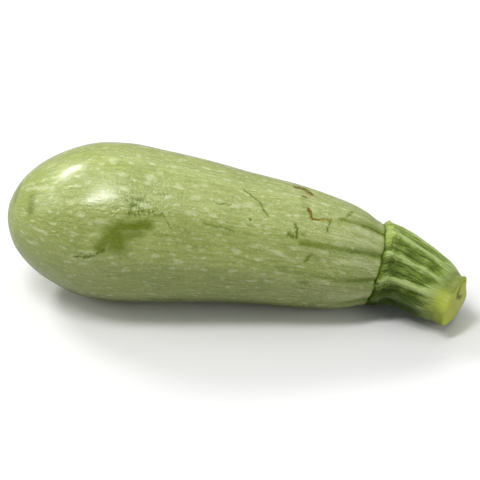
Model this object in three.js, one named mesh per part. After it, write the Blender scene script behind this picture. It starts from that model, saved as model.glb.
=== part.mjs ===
// A pale green courgette as picked: the fruit and the cut stub of its stem, lying on a table.
// Millimetres. +Z is up, the table is z = 0 and +X runs from the blossom end to the stem.
// The origin is on the table, under the middle of the whole piece.
//
// Both pieces are skins laid around a curved centre line. A place on a skin is given by its
// station, in mm along the centre line, and its angle, in degrees around it: 0 is the top and
// 90 the side that faces -Y.

import * as THREE from 'three';

// ---- fruit ----
// Bezier points of the centre line, from the blossom end to the seat that the stem grows from.
const FRUIT_AXIS = [[-81.9, -5.2, 30.8], [-48.2, 0.6, 25.4], [-10, 2.2, 30.7], [48.3, 10.4, 15.4]];
// [station, radius] of the skin.
const FRUIT_PROFILE = [
  [0, 0], [0.12, 2.2], [0.45, 4.3], [1, 6.4], [4, 12.4], [9.5, 18.1], [18, 23.4], [28, 27.2],
  [40, 28.4], [54, 27.3], [70, 25.4], [86, 23.3], [102, 21.8], [113, 20.4], [121, 19.1],
  [126.5, 17.5], [130.5, 15.7], [132.3, 15.1], [133, 14.5],
];
const FRUIT_RINGS = 36;
const FRUIT_SECTORS = 80;

// Ten veins run along the fruit, and its flanks are slightly flat between them. The height of
// the soft edges over the veins is a share of the radius. They rise between these stations.
const VEIN_COUNT = 10;
const VEIN_PHASE = 8;
const EDGE_SHARE = 0.008;
const EDGE_RISE_FROM = 6;
const EDGE_RISE_TO = 45;

// Toward the seat each edge turns into a shallow furrow and swings round to meet a rib of the stem.
const FURROW_DEPTH = 0.45;
const FURROW_HALF_WIDTH = 1.3;
const FURROW_LENGTH = 20;
const FURROW_SWING = -4.5;

// The dry scar that the flower leaves: a low five-sided button with a dimple.
const SCAR_RADIUS = 4.6;
const SCAR_HEIGHT = 0.15;
const SCAR_DIMPLE_RADIUS = 2;
const SCAR_SIDES = 5;
const SCAR_WAVE = 0.12;

// ---- stem ----
const STEM_GAP = 0.3;
const STEM_AXIS = [[48.3, 10.4, 15.7], [58.3, 11.8, 17.4], [70.8, 3.8, 11.5], [79.4, 0.8, 10.4]];
// [station, radius] over the crests of the ribs.
const STEM_PROFILE = [
  [0, 14.8], [0.8, 15.4], [3, 15.2], [8, 14.1], [13, 12.9], [19, 12.2], [25, 11.2], [29, 9.7],
  [31, 9], [32.4, 8.6], [33.2, 8.3], [33.6, 7.8],
];
const STEM_RINGS = 18;
const STEM_SECTORS = 120;
// Length over which the rings turn from the seat's plane to their own centre line.
const SEAT_BLEND = 12;

// Ten ribs with broad valleys between them, and a low fold along the middle of each valley. They
// twist by so many degrees for each millimetre of the stem.
const RIB_COUNT = 10;
const RIB_PHASE = 3;
const RIB_TWIST = -0.65;
const VALLEY_DEPTH = 1.0;
const FOLD_GROOVE_DEPTH = 0.45;
const RIB_FADE_FROM = 20;
const RIB_FADE_TO = 29.5;

// The smooth collar at the cut end flares into five unequal corners and one flat side:
// [angle, height, half width], the first and last in degrees. They rise between these stations.
const CUT_CORNERS = [
  [-14, 2.5, 27], [45, 0.5, 24], [101, 1.9, 32], [-163, 1.3, 20], [-121, 3.3, 23], [-66, -0.6, 22],
];
const CUT_FLARE_FROM = 29;
const CUT_FLARE_TO = 33.4;
// Dish of the cut face: [share of the rim's radius, depth below the rim].
const CUT_DISH = [[0.86, 0.1], [0.5, 0.6]];
const CUT_CENTRE_DEPTH = 0.8;

const UP = new THREE.Vector3(0, 0, 1);
const CURVE_DIVISIONS = 400;
const END_CROWDING = 0.6;

/** A smooth step from 0 at from to 1 at to. */
function fade(value, from, to) {
  return THREE.MathUtils.smoothstep(value, from, to);
}

/** The centre line through four Bezier points. */
function centreLine(points) {
  const curve = new THREE.CubicBezierCurve3(...points.map((point) => new THREE.Vector3(...point)));
  curve.arcLengthDivisions = CURVE_DIVISIONS;
  return curve;
}

/** Stations and radii along a profile, closer together near its two ends. */
function profileRings(profile, count) {
  const knots = profile.map(([station, radius]) => new THREE.Vector3(station, radius, 0));
  const curve = new THREE.CatmullRomCurve3(knots, false, 'centripetal');
  curve.arcLengthDivisions = CURVE_DIVISIONS;
  return Array.from({ length: count + 1 }, (_, step) => {
    const even = step / count;
    const crowded = even - (END_CROWDING * Math.sin(2 * Math.PI * even)) / (2 * Math.PI);
    const point = curve.getPointAt(crowded);
    return { station: THREE.MathUtils.clamp(point.x, 0, profile.at(-1)[0]), radius: point.y };
  });
}

/** The plane across a centre line: its middle, the way it faces, its side and its top. */
function crossPlane(middle, along) {
  const side = new THREE.Vector3().crossVectors(along, UP).normalize();
  const top = new THREE.Vector3().crossVectors(side, along);
  return { middle, along, side, top };
}

/** A point in a cross plane, pushed forward along the centre line by forward. */
function planePoint(plane, radius, angle, forward = 0) {
  const turn = THREE.MathUtils.degToRad(angle);
  return plane.middle
    .clone()
    .addScaledVector(plane.top, radius * Math.cos(turn))
    .addScaledVector(plane.side, radius * Math.sin(turn))
    .addScaledVector(plane.along, forward);
}

/** One ring of points around a cross plane, from a function that places each angle. */
function ring(sectors, phase, place) {
  return Array.from({ length: sectors }, (_, sector) => place(phase + (360 * sector) / sectors));
}

/** A closed skin over rings of equal count, ending in a point at each end. */
function closedSkin(startPoint, rings, endPoint) {
  const sectors = rings[0].length;
  const vertices = [startPoint, ...rings.flat(), endPoint];
  const vertex = (row, sector) => 1 + row * sectors + (sector % sectors);
  const last = rings.length - 1;
  const triangles = [];
  for (let sector = 0; sector < sectors; sector += 1) {
    triangles.push(0, vertex(0, sector + 1), vertex(0, sector));
    for (let row = 0; row < last; row += 1) {
      const near = vertex(row, sector);
      const nearNext = vertex(row, sector + 1);
      const far = vertex(row + 1, sector);
      const farNext = vertex(row + 1, sector + 1);
      triangles.push(near, nearNext, farNext, near, farNext, far);
    }
    triangles.push(vertices.length - 1, vertex(last, sector), vertex(last, sector + 1));
  }
  const geometry = new THREE.BufferGeometry().setFromPoints(vertices);
  geometry.setIndex(triangles);
  geometry.computeVertexNormals();
  return geometry;
}

/** An angle from home, wrapped to half a step either side of it. */
function wrapped(angle, home, step) {
  return THREE.MathUtils.euclideanModulo(angle - home + step / 2, step) - step / 2;
}

/** Angle of the first vein. */
function veinAngle(stationFromSeat) {
  return VEIN_PHASE + FURROW_SWING * (1 - fade(stationFromSeat, 0, FURROW_LENGTH));
}

/** Height of the soft edges over the veins at a place on the fruit. */
function edgeHeight(station, stationFromSeat, radius, angle) {
  const turn = THREE.MathUtils.degToRad(VEIN_COUNT * (angle - veinAngle(stationFromSeat)));
  const rise = fade(station, EDGE_RISE_FROM, EDGE_RISE_TO) * fade(stationFromSeat, 0, FURROW_LENGTH);
  return EDGE_SHARE * radius * rise * Math.cos(turn);
}

/** Depth of the vein furrows at a place on the fruit. */
function furrowDepth(stationFromSeat, radius, angle) {
  const turn = wrapped(angle, veinAngle(stationFromSeat), 360 / VEIN_COUNT);
  const across = (radius * THREE.MathUtils.degToRad(turn)) / FURROW_HALF_WIDTH;
  const along = 1 - fade(stationFromSeat, 0, FURROW_LENGTH);
  return FURROW_DEPTH * along * Math.exp(-across * across);
}

/** Height of the blossom scar over the round end of the fruit. */
function scarHeight(radius, angle) {
  const wave = 1 + SCAR_WAVE * Math.cos(THREE.MathUtils.degToRad(SCAR_SIDES * angle));
  const edge = SCAR_RADIUS * wave;
  const button = 1 - fade(radius, 0.7 * edge, 1.3 * edge);
  const dimple = 1 - fade(radius, 0, SCAR_DIMPLE_RADIUS);
  return SCAR_HEIGHT * (button - dimple);
}

/** The fruit, with the skin that would dip below the table pressed flat on it. */
function fruitGeometry() {
  const line = centreLine(FRUIT_AXIS);
  const length = FRUIT_PROFILE.at(-1)[0];
  const planeAt = (station) =>
    crossPlane(line.getPointAt(station / length), line.getTangentAt(station / length));
  const onTable = (point) => point.setZ(Math.max(point.z, 0));
  const rings = profileRings(FRUIT_PROFILE, FRUIT_RINGS).slice(1).map(({ station, radius }) => {
    const plane = planeAt(station);
    return ring(FRUIT_SECTORS, veinAngle(length - station), (angle) => {
      const relief =
        edgeHeight(station, length - station, radius, angle) -
        furrowDepth(length - station, radius, angle);
      return onTable(planePoint(plane, radius + relief, angle, -scarHeight(radius, angle)));
    });
  });
  const blossomEnd = planePoint(planeAt(0), 0, 0, -scarHeight(0, 0));
  return closedSkin(blossomEnd, rings, planeAt(length).middle);
}

/** Angle of the first rib. */
function ribAngle(station) {
  return RIB_PHASE + RIB_TWIST * station;
}

/** How far the stem's skin lies below its rib crests at a place. */
function grooveDepth(station, angle) {
  const turn = THREE.MathUtils.degToRad(RIB_COUNT * (angle - ribAngle(station)));
  const valley = (VALLEY_DEPTH * (1 - Math.cos(turn))) / 2;
  const foldGrooves = (FOLD_GROOVE_DEPTH * (1 - Math.cos(2 * turn))) / 2;
  return (valley + foldGrooves) * (1 - fade(station, RIB_FADE_FROM, RIB_FADE_TO));
}

/** How far the collar stands out at the corners of the cut end. */
function cornerHeight(station, angle) {
  const flare = fade(station, CUT_FLARE_FROM, CUT_FLARE_TO);
  return CUT_CORNERS.reduce((height, [corner, rise, halfWidth]) => {
    const across = wrapped(angle, corner, 360) / halfWidth;
    return height + rise * flare * Math.exp(-across * across);
  }, 0);
}

/** The stem stub, from its foot on the fruit's seat to its cut face. */
function stemGeometry() {
  const line = centreLine(STEM_AXIS);
  const length = STEM_PROFILE.at(-1)[0];
  const seatFacing = centreLine(FRUIT_AXIS).getTangentAt(1);
  const foot = seatFacing.clone().multiplyScalar(STEM_GAP);
  const planeAt = (station) => {
    const own = line.getTangentAt(station / length);
    const along = seatFacing.clone().lerp(own, fade(station, 0, SEAT_BLEND)).normalize();
    return crossPlane(line.getPointAt(station / length).add(foot), along);
  };
  const skinRadius = (station, radius, angle) =>
    radius - grooveDepth(station, angle) + cornerHeight(station, angle);
  const sideRings = profileRings(STEM_PROFILE, STEM_RINGS).map(({ station, radius }) => {
    const plane = planeAt(station);
    return ring(STEM_SECTORS, ribAngle(station), (angle) =>
      planePoint(plane, skinRadius(station, radius, angle), angle));
  });
  const cutPlane = planeAt(length);
  const rimRadius = STEM_PROFILE.at(-1)[1];
  const faceRings = CUT_DISH.map(([share, depth]) =>
    ring(STEM_SECTORS, ribAngle(length), (angle) =>
      planePoint(cutPlane, share * skinRadius(length, rimRadius, angle), angle, -depth)));
  const cutCentre = planePoint(cutPlane, 0, 0, -CUT_CENTRE_DEPTH);
  return closedSkin(planeAt(0).middle, [...sideRings, ...faceRings], cutCentre);
}

/** A named mesh with a finish of its own. */
function piece(name, geometry, finish) {
  const mesh = new THREE.Mesh(geometry, new THREE.MeshStandardMaterial(finish));
  mesh.name = name;
  return mesh;
}

const courgette = new THREE.Group();
courgette.add(
  piece('fruit', fruitGeometry(), { color: 0xaab974, roughness: 0.3, metalness: 0 }),
  piece('stem', stemGeometry(), { color: 0x7d9a45, roughness: 0.5, metalness: 0 }),
);

export default courgette;
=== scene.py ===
"""A pale green courgette as picked, lying on a plain floor.

The fruit and the stem are skins laid around curved centre lines. A place on a skin is its travel, in
millimetres along the skin from the middle of its first end, and its turn, in degrees around the centre
line: 0 is the top and 90 the side that faces -Y. The point attribute "skin" holds the travel and the
cosine and sine of the turn, and the materials draw every pattern and mark from it. Two more, "crest" and
"crease", hold masks of the relief, which the materials colour.

Lengths whose names end in _mm are in millimetres, and all others are in metres.
"""

from __future__ import annotations

import logging
import math
from collections.abc import Callable, Sequence
from dataclasses import dataclass
from enum import Enum
from typing import ClassVar, TypeAlias

import bpy
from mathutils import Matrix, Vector


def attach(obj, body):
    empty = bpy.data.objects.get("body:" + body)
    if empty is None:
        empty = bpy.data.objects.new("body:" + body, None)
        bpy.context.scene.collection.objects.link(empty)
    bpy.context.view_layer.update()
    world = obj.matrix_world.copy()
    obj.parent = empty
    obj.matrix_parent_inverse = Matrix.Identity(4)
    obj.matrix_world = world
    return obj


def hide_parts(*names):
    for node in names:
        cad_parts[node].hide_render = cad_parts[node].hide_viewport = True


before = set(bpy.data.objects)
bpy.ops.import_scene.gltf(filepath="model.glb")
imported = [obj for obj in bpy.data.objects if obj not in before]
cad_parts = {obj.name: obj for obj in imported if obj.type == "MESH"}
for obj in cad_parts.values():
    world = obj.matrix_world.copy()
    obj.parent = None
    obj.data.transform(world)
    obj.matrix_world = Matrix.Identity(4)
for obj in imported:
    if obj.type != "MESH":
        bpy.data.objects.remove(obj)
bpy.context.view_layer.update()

LOG = logging.getLogger("courgette")
MM = 0.001
BODY = "root"
SKIN_ATTRIBUTE = "skin"
CREST_ATTRIBUTE = "crest"
CREASE_ATTRIBUTE = "crease"

Term: TypeAlias = "Wire | float | int | str | bool | tuple[float, ...] | bpy.types.ID"
Colour: TypeAlias = tuple[float, float, float]
Inlet: TypeAlias = "Callable[[str], Wire]"
NewTree: TypeAlias = "tuple[Board, Inlet, bpy.types.Node]"
NewMaterial: TypeAlias = "tuple[bpy.types.Material, Board, bpy.types.Node]"


# ---------------------------------------------------------------- node trees


@dataclass(frozen=True)
class Ramp:
    """A smooth step from one number to another.

    Attributes:
        start: Where it begins.
        end: Where it ends.
        low: The result before the start.
        high: The result after the end.
    """

    start: float
    end: float
    low: float = 0.0
    high: float = 1.0


@dataclass(frozen=True)
class Wire:
    """A value on its way through a node tree. Arithmetic on a number adds Math nodes.

    Attributes:
        board: The board that the value's node is on.
        socket: The output that the value comes from.
    """

    board: Board
    socket: bpy.types.NodeSocket

    def __add__(self, other: Term) -> Wire:
        """The sum."""
        return self.board.math("ADD", self, other)

    def __sub__(self, other: Term) -> Wire:
        """The difference."""
        return self.board.math("SUBTRACT", self, other)

    def __rsub__(self, other: Term) -> Wire:
        """The difference."""
        return self.board.math("SUBTRACT", other, self)

    def __mul__(self, other: Term) -> Wire:
        """The product."""
        return self.board.math("MULTIPLY", self, other)

    def __truediv__(self, other: Term) -> Wire:
        """The quotient."""
        return self.board.math("DIVIDE", self, other)

    def __rtruediv__(self, other: Term) -> Wire:
        """The quotient."""
        return self.board.math("DIVIDE", other, self)


class Board:
    """Adds nodes to one tree and joins them up."""

    def __init__(self, tree: bpy.types.NodeTree) -> None:
        """Takes the tree that the nodes go in.

        Args:
            tree: A shader or geometry node tree.
        """
        self.tree = tree

    def node(self, kind: str, inputs: dict[str, Term], **settings: object) -> bpy.types.Node:
        """Adds a node.

        Args:
            kind: The node's type name.
            inputs: A wire or a plain value for each named input.
            **settings: The node's own properties.

        Returns:
            The node.
        """
        node = self.tree.nodes.new(kind)
        for key, value in settings.items():
            setattr(node, key, value)
        for name, term in inputs.items():
            self.feed(next(s for s in node.inputs if s.enabled and s.name == name), term)
        return node

    def feed(self, socket: bpy.types.NodeSocket, term: Term) -> None:
        """Gives an input a wire or a plain value.

        Args:
            socket: The input.
            term: The wire or value.
        """
        if isinstance(term, Wire):
            self.tree.links.new(term.socket, socket)
        elif socket.type == "RGBA":
            socket.default_value = (*term, 1.0)
        else:
            socket.default_value = term

    def out(self, node: bpy.types.Node, name: str) -> Wire:
        """The wire from a node's named output.

        Args:
            node: The node.
            name: The output's name.

        Returns:
            The wire.
        """
        return Wire(self, next(s for s in node.outputs if s.enabled and s.name == name))

    def math(self, operation: str, *terms: Term) -> Wire:
        """A Math node's result.

        Args:
            operation: The node's operation.
            *terms: Its inputs in order.

        Returns:
            The result.
        """
        node = self.node("ShaderNodeMath", {}, operation=operation)
        for socket, term in zip(node.inputs, terms):
            self.feed(socket, term)
        return self.out(node, "Value")

    def vector(self, operation: str, *terms: Term) -> Wire:
        """A Vector Math node's result.

        Args:
            operation: The node's operation.
            *terms: Its inputs in order, with the factor of SCALE last.

        Returns:
            The result, a vector or for DOT_PRODUCT and LENGTH a number.
        """
        node = self.node("ShaderNodeVectorMath", {}, operation=operation)
        sockets = [socket for socket in node.inputs if socket.enabled]
        for socket, term in zip(sockets, terms):
            self.feed(socket, term)
        return self.out(node, "Value" if operation in ("DOT_PRODUCT", "LENGTH") else "Vector")

    def xyz(self, x: Term, y: Term, z: Term) -> Wire:
        """The vector of three numbers."""
        return self.out(self.node("ShaderNodeCombineXYZ", {"X": x, "Y": y, "Z": z}), "Vector")

    def parts(self, vector: Wire) -> tuple[Wire, Wire, Wire]:
        """The three numbers of a vector."""
        node = self.node("ShaderNodeSeparateXYZ", {"Vector": vector})
        return self.out(node, "X"), self.out(node, "Y"), self.out(node, "Z")

    def fade(self, value: Term, start: Term, end: Term, low: Term = 0.0, high: Term = 1.0) -> Wire:
        """A smooth step from low at start to high at end.

        Args:
            value: The number that drives the step.
            start: Where the step begins.
            end: Where it ends.
            low: The result before the start.
            high: The result after the end.

        Returns:
            The result.
        """
        inputs = {"Value": value, "From Min": start, "From Max": end, "To Min": low, "To Max": high}
        node = self.node("ShaderNodeMapRange", inputs, interpolation_type="SMOOTHSTEP")
        return self.out(node, "Result")

    def ramp(self, value: Term, ramp: Ramp) -> Wire:
        """The result of a smooth step whose numbers are fixed."""
        return self.fade(value, ramp.start, ramp.end, ramp.low, ramp.high)

    def attribute(self, name: str) -> Wire:
        """A number that the skin carries for its material."""
        return self.out(self.node("ShaderNodeAttribute", {}, attribute_name=name), "Fac")

    def bell(self, across: Wire) -> Wire:
        """A bell curve, 1 where the number is 0."""
        return self.math("EXPONENT", across * across * -1.0)

    def paint(self, share: Term, under: Term, over: Term) -> Wire:
        """One colour laid over another.

        Args:
            share: How much of the upper colour shows, 0 to 1.
            under: The lower colour.
            over: The upper colour.

        Returns:
            The colour.
        """
        node = self.node("ShaderNodeMix", {}, data_type="RGBA")
        sockets = {socket.name: socket for socket in node.inputs if socket.enabled}
        for name, term in (("Factor", share), ("A", under), ("B", over)):
            self.feed(sockets[name], term)
        return self.out(node, "Result")

    def noise(self, place: Wire, scale: Term, detail: float = 2.0, roughness: float = 0.5) -> Wire:
        """Smooth noise around 0.5.

        Args:
            place: Where it is read.
            scale: Its fineness.
            detail: How many finer layers it has.
            roughness: How strong the finer layers are.

        Returns:
            The noise.
        """
        inputs = {"Vector": place, "Scale": scale, "Detail": detail, "Roughness": roughness}
        node = self.node("ShaderNodeTexNoise", inputs)
        return Wire(self, node.outputs[0])

    def swing(self, place: Wire, scale: Term, detail: float = 2.0, roughness: float = 0.5) -> Wire:
        """Smooth noise around 0, from about -1 to 1.

        Args:
            place: Where it is read.
            scale: Its fineness.
            detail: How many finer layers it has.
            roughness: How strong the finer layers are.

        Returns:
            The noise.
        """
        return (self.noise(place, scale, detail, roughness) - 0.5) * 2.0

    def soft_cells(self, place: Wire, scale: Term) -> tuple[Wire, Wire]:
        """Distance to the nearest of some scattered seeds, and that seed's own random number.

        Args:
            place: Where it is read.
            scale: Seeds per unit of length.

        Returns:
            The distance, which runs smoothly from cell to cell, and the random number.
        """
        node = self.node("ShaderNodeTexVoronoi", {"Vector": place, "Scale": scale}, feature="SMOOTH_F1")
        lot, _, _ = self.parts(self.out(node, "Color"))
        return self.out(node, "Distance"), lot

    def distance_to_path(self, spot: Wire, path: Sequence[Vector]) -> Wire:
        """The distance from a point to a path of straight steps.

        Args:
            spot: The point.
            path: The path's points.

        Returns:
            The distance.
        """
        nearest = None
        for start, end in zip(path, path[1:]):
            course = end - start
            offset = self.vector("SUBTRACT", spot, tuple(start))
            share = self.vector("DOT_PRODUCT", offset, tuple(course)) / course.length_squared
            share = self.math("MINIMUM", self.math("MAXIMUM", share, 0.0), 1.0)
            gap = self.vector("SUBTRACT", offset, self.vector("SCALE", tuple(course), share))
            distance = self.vector("LENGTH", gap)
            nearest = distance if nearest is None else self.math("MINIMUM", nearest, distance)
        return nearest

    def group(self, tree: bpy.types.NodeTree, inputs: dict[str, Term]) -> bpy.types.Node:
        """Places a node group.

        Args:
            tree: The group.
            inputs: A wire or a plain value for each named input.

        Returns:
            The group's node.
        """
        kind = self.tree.bl_idname.replace("Tree", "Group")
        node = self.tree.nodes.new(kind)
        node.node_tree = tree
        for name, term in inputs.items():
            self.feed(node.inputs[name], term)
        return node


@dataclass(frozen=True)
class Port:
    """A named input or output of a node group.

    Attributes:
        name: Its name.
        kind: What it carries: Float, Int, Vector, Color, Object, Material or Geometry.
    """

    name: str
    kind: str = "Float"


def new_tree(name: str, kind: str, inlets: Sequence[Port], outlets: Sequence[Port]) -> NewTree:
    """Starts a node group.

    Args:
        name: The group's name.
        kind: ShaderNodeTree or GeometryNodeTree.
        inlets: Its inputs.
        outlets: Its outputs.

    Returns:
        The group's board, a function from an input's name to its wire, and the output node.
    """
    tree = bpy.data.node_groups.new(name, kind)
    for ports, side in ((inlets, "INPUT"), (outlets, "OUTPUT")):
        for port in ports:
            tree.interface.new_socket(name=port.name, in_out=side, socket_type=f"NodeSocket{port.kind}")
    board = Board(tree)
    entry = tree.nodes.new("NodeGroupInput")
    return board, lambda port: Wire(board, entry.outputs[port]), tree.nodes.new("NodeGroupOutput")


# ---------------------------------------------------------------- shapes


def centripetal(knots: Sequence[tuple[float, float]], steps: int = 12) -> list[Vector]:
    """Points along the centripetal Catmull-Rom curve through some knots.

    Args:
        knots: The points that the curve passes through.
        steps: Points on each stretch between two knots.

    Returns:
        The points, from the first knot to the last.
    """
    marks = [Vector(knot) for knot in knots]
    guide = [marks[0] * 2 - marks[1], *marks, marks[-1] * 2 - marks[-2]]
    trail = []
    for before, start, end, after in zip(guide, guide[1:], guide[2:], guide[3:]):
        near = math.sqrt((start - before).length)
        span = math.sqrt((end - start).length)
        far = math.sqrt((after - end).length)
        leave = (start - before) / near - (end - before) / (near + span) + (end - start) / span
        arrive = (end - start) / span - (after - start) / (span + far) + (after - end) / far
        for step in range(steps):
            t = step / steps
            trail.append(
                start * (2 * t**3 - 3 * t**2 + 1)
                + leave * span * (t**3 - 2 * t**2 + t)
                + end * (3 * t**2 - 2 * t**3)
                + arrive * span * (t**3 - t**2)
            )
    return [*trail, marks[-1]]


@dataclass(frozen=True)
class Profile:
    """How a skin's radius changes along its centre line.

    Attributes:
        runs_mm: Smooth runs of station along the centre line and radius, from the middle of the first
            end to the middle of the last. They meet in edges.
    """

    runs_mm: tuple[tuple[tuple[float, float], ...], ...]

    @property
    def trail_mm(self) -> list[Vector]:
        """Points along the profile."""
        trail = [point for run in self.runs_mm for point in centripetal(run)[:-1]]
        return [*trail, Vector(self.runs_mm[-1][-1])]

    @property
    def reach_mm(self) -> float:
        """The furthest station."""
        return max(station for run in self.runs_mm for station, _ in run)

    def travel_mm(self, runs: int) -> float:
        """The travel along the skin over its first runs.

        Args:
            runs: How many runs.

        Returns:
            The travel.
        """
        return sum(
            (end - start).length
            for run in self.runs_mm[:runs]
            for start, end in zip(centripetal(run), centripetal(run)[1:])
        )

    def girth_mm(self, travel_mm: float) -> float:
        """The radius at a place on the skin.

        Args:
            travel_mm: The place's travel.

        Returns:
            The radius.
        """
        trail = self.trail_mm
        travelled = 0.0
        for start, end in zip(trail, trail[1:]):
            travelled += (end - start).length
            if travelled >= travel_mm:
                return end.y
        return trail[-1].y


def poly_line(name: str, points: Sequence[Vector]) -> bpy.types.Object:
    """A guide curve with straight steps.

    Args:
        name: The curve's name.
        points: Its points, in metres.

    Returns:
        The curve object.
    """
    data = bpy.data.curves.new(name, "CURVE")
    data.dimensions = "3D"
    spline = data.splines.new("POLY")
    spline.points.add(len(points) - 1)
    for target, point in zip(spline.points, points):
        target.co = (*point.to_3d(), 1.0)
    guide = bpy.data.objects.new(name, data)
    bpy.context.scene.collection.objects.link(guide)
    return guide


def bezier_point(points: Sequence[Vector], share: float) -> Vector:
    """The point at a share of the way along a cubic Bezier curve.

    Args:
        points: The curve's four points.
        share: The share of the way, 0 to 1.

    Returns:
        The point.
    """
    rest = 1 - share
    weights = (rest**3, 3 * rest**2 * share, 3 * rest * share**2, share**3)
    return sum((point * weight for point, weight in zip(points, weights)), Vector((0, 0, 0)))


@dataclass(frozen=True)
class Place:
    """Where a point of a skin is, as wires of a geometry tree.

    Attributes:
        station: Metres along the centre line.
        radius: Metres from the centre line.
        turn: Radians around it.
        cosine: Cosine of the turn.
        sine: Sine of the turn.
        grown_turn: Radians around it from the skin's own lines, which may twist.
    """

    station: Wire
    radius: Wire
    turn: Wire
    cosine: Wire
    sine: Wire
    grown_turn: Wire

    def around(self, girth: float) -> Wire:
        """A seamless place that follows the skin's own lines.

        Args:
            girth: The radius at which it has its true size.

        Returns:
            The place, in metres.
        """
        board = self.station.board
        across = board.math("COSINE", self.grown_turn) * girth
        return board.xyz(self.station, across, board.math("SINE", self.grown_turn) * girth)


@dataclass(frozen=True)
class Relief:
    """How far a skin stands out from its profile, as wires of a geometry tree.

    Attributes:
        outward: Metres away from the centre line.
        forward: Metres along it.
        crest: A number from 0 to 1 that the material reads, 1 on the ribs or veins.
        crease: Another, 1 in the crease of the cut or on the dry scar.
    """

    outward: Wire
    forward: Wire
    crest: Wire
    crease: Wire


@dataclass(frozen=True)
class Size:
    """A named input of a skin's tree, with its value.

    Attributes:
        name: The input's name.
        value: Its value.
        kind: What it carries.
    """

    name: str
    value: float | int
    kind: str = "Float"


@dataclass
class LaidSkin:
    """A closed skin laid around a curved centre line by Geometry Nodes.

    Attributes:
        name: The piece's name.
        node: The CAD node that the piece stands for.
        slot: The record's material slot; not used.
        line_mm: Four Bezier points of the centre line.
        profile: Its profile.
        sectors: Points around it.
        rings: Points along it.
        twist_deg_a_mm: How far the skin's own lines turn for each millimetre along the centre line.
    """

    name: str
    node: str
    slot: str
    line_mm: tuple[tuple[float, float, float], ...]
    profile: Profile
    sectors: int
    rings: int
    twist_deg_a_mm: float = 0.0

    LINE_STEPS: ClassVar[int] = 240

    @property
    def line(self) -> list[Vector]:
        """The centre line's Bezier points, in metres."""
        return [Vector(point) * MM for point in self.line_mm]

    def sizes(self) -> list[Size]:
        """The sizes that the relief reads, as named inputs of the tree."""
        return []

    def facing(self, board: Board, station: Wire, own: Wire) -> Wire:
        """The way that the plane across the centre line faces.

        Args:
            board: The tree's board.
            station: Metres along the centre line.
            own: The centre line's own direction.

        Returns:
            The direction.
        """
        return own

    def relief(self, board: Board, inlet: Inlet, place: Place) -> Relief:
        """How far the skin stands out from its profile.

        Args:
            board: The tree's board.
            inlet: Gives the wire of a named input.
            place: Where the point is.

        Returns:
            The relief.
        """
        raise NotImplementedError

    def tree(self) -> bpy.types.NodeTree:
        """Builds the geometry tree that lays the skin.

        Returns:
            The tree.
        """
        inlets = [
            Port("Centre Line", "Object"),
            Port("Profile", "Object"),
            Port("Sectors", "Int"),
            Port("Rings", "Int"),
            Port("Finish", "Material"),
            *(Port(size.name, size.kind) for size in self.sizes()),
        ]
        outlets = [Port("Skin", "Geometry")]
        board, inlet, outlet = new_tree(f"{self.name} skin", "GeometryNodeTree", inlets, outlets)
        rings = {"Vertices": inlet("Sectors"), "Side Segments": inlet("Rings"), "Radius": 1.0, "Depth": 1.0}
        tube = board.node("GeometryNodeMeshCylinder", rings, fill_type="TRIANGLE_FAN")
        on_tube = board.out(board.node("GeometryNodeInputPosition", {}), "Position")
        cosine, sine, height = board.parts(on_tube)
        share = height + 0.5
        profile, line = (
            board.out(board.node("GeometryNodeObjectInfo", {"Object": inlet(name)}), "Geometry")
            for name in ("Profile", "Centre Line")
        )
        on_profile = self._sample(board, profile, share)
        station, radius, _ = board.parts(board.out(on_profile, "Position"))
        on_line = self._sample(board, line, station / (self.profile.reach_mm * MM))
        facing = self.facing(board, station, board.out(on_line, "Tangent"))
        side = board.vector("NORMALIZE", board.vector("CROSS_PRODUCT", facing, (0.0, 0.0, 1.0)))
        top = board.vector("CROSS_PRODUCT", side, facing)
        turn = board.math("ARCTAN2", sine, cosine)
        grown_turn = turn - station * (math.radians(self.twist_deg_a_mm) / MM)
        place = Place(station, radius, turn, cosine, sine, grown_turn)
        relief = self.relief(board, inlet, place)
        reach = radius + relief.outward
        spot = board.out(on_line, "Position")
        for axis, length in ((top, reach * cosine), (side, reach * sine), (facing, relief.forward)):
            spot = board.vector("ADD", spot, board.vector("SCALE", axis, length))
        x, y, z = board.parts(spot)
        on_table = board.xyz(x, y, board.math("MAXIMUM", z, 0.0))
        skin = board.out(tube, "Mesh")
        for name, kind, value in (
            (SKIN_ATTRIBUTE, "FLOAT_VECTOR", self._on_skin(board, place, profile, share)),
            (CREST_ATTRIBUTE, "FLOAT", relief.crest),
            (CREASE_ATTRIBUTE, "FLOAT", relief.crease),
        ):
            inputs = {"Geometry": skin, "Name": name, "Value": value}
            store = board.node("GeometryNodeStoreNamedAttribute", inputs, data_type=kind, domain="POINT")
            skin = board.out(store, "Geometry")
        for kind, inputs in (
            ("GeometryNodeSetPosition", {"Position": on_table}),
            ("GeometryNodeSetShadeSmooth", {}),
            ("GeometryNodeRealizeInstances", {}),
            ("GeometryNodeSetMaterial", {"Material": inlet("Finish")}),
        ):
            skin = board.out(board.node(kind, {"Geometry": skin, **inputs}), "Geometry")
        board.feed(outlet.inputs["Skin"], skin)
        return board.tree

    @staticmethod
    def _sample(board: Board, curve: Wire, share: Wire) -> bpy.types.Node:
        """A node that reads a curve at a share of its length."""
        return board.node("GeometryNodeSampleCurve", {"Curves": curve, "Factor": share}, mode="FACTOR")

    @staticmethod
    def _on_skin(board: Board, place: Place, profile: Wire, share: Wire) -> Wire:
        """What the material reads of a point's place.

        Args:
            board: The tree's board.
            place: Where the point is.
            profile: The profile's curve.
            share: How far along the profile the point is, 0 to 1.

        Returns:
            The travel in millimetres, and the cosine and sine of the turn, both 0 in the middle of an end.
        """
        length = board.out(board.node("GeometryNodeCurveLength", {"Curve": profile}), "Length")
        off_middle = board.vector("LENGTH", board.xyz(place.cosine, place.sine, 0.0))
        _, across, aside = board.parts(board.vector("SCALE", place.around(1.0), off_middle))
        return board.xyz(share * length * (1 / MM), across, aside)

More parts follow.
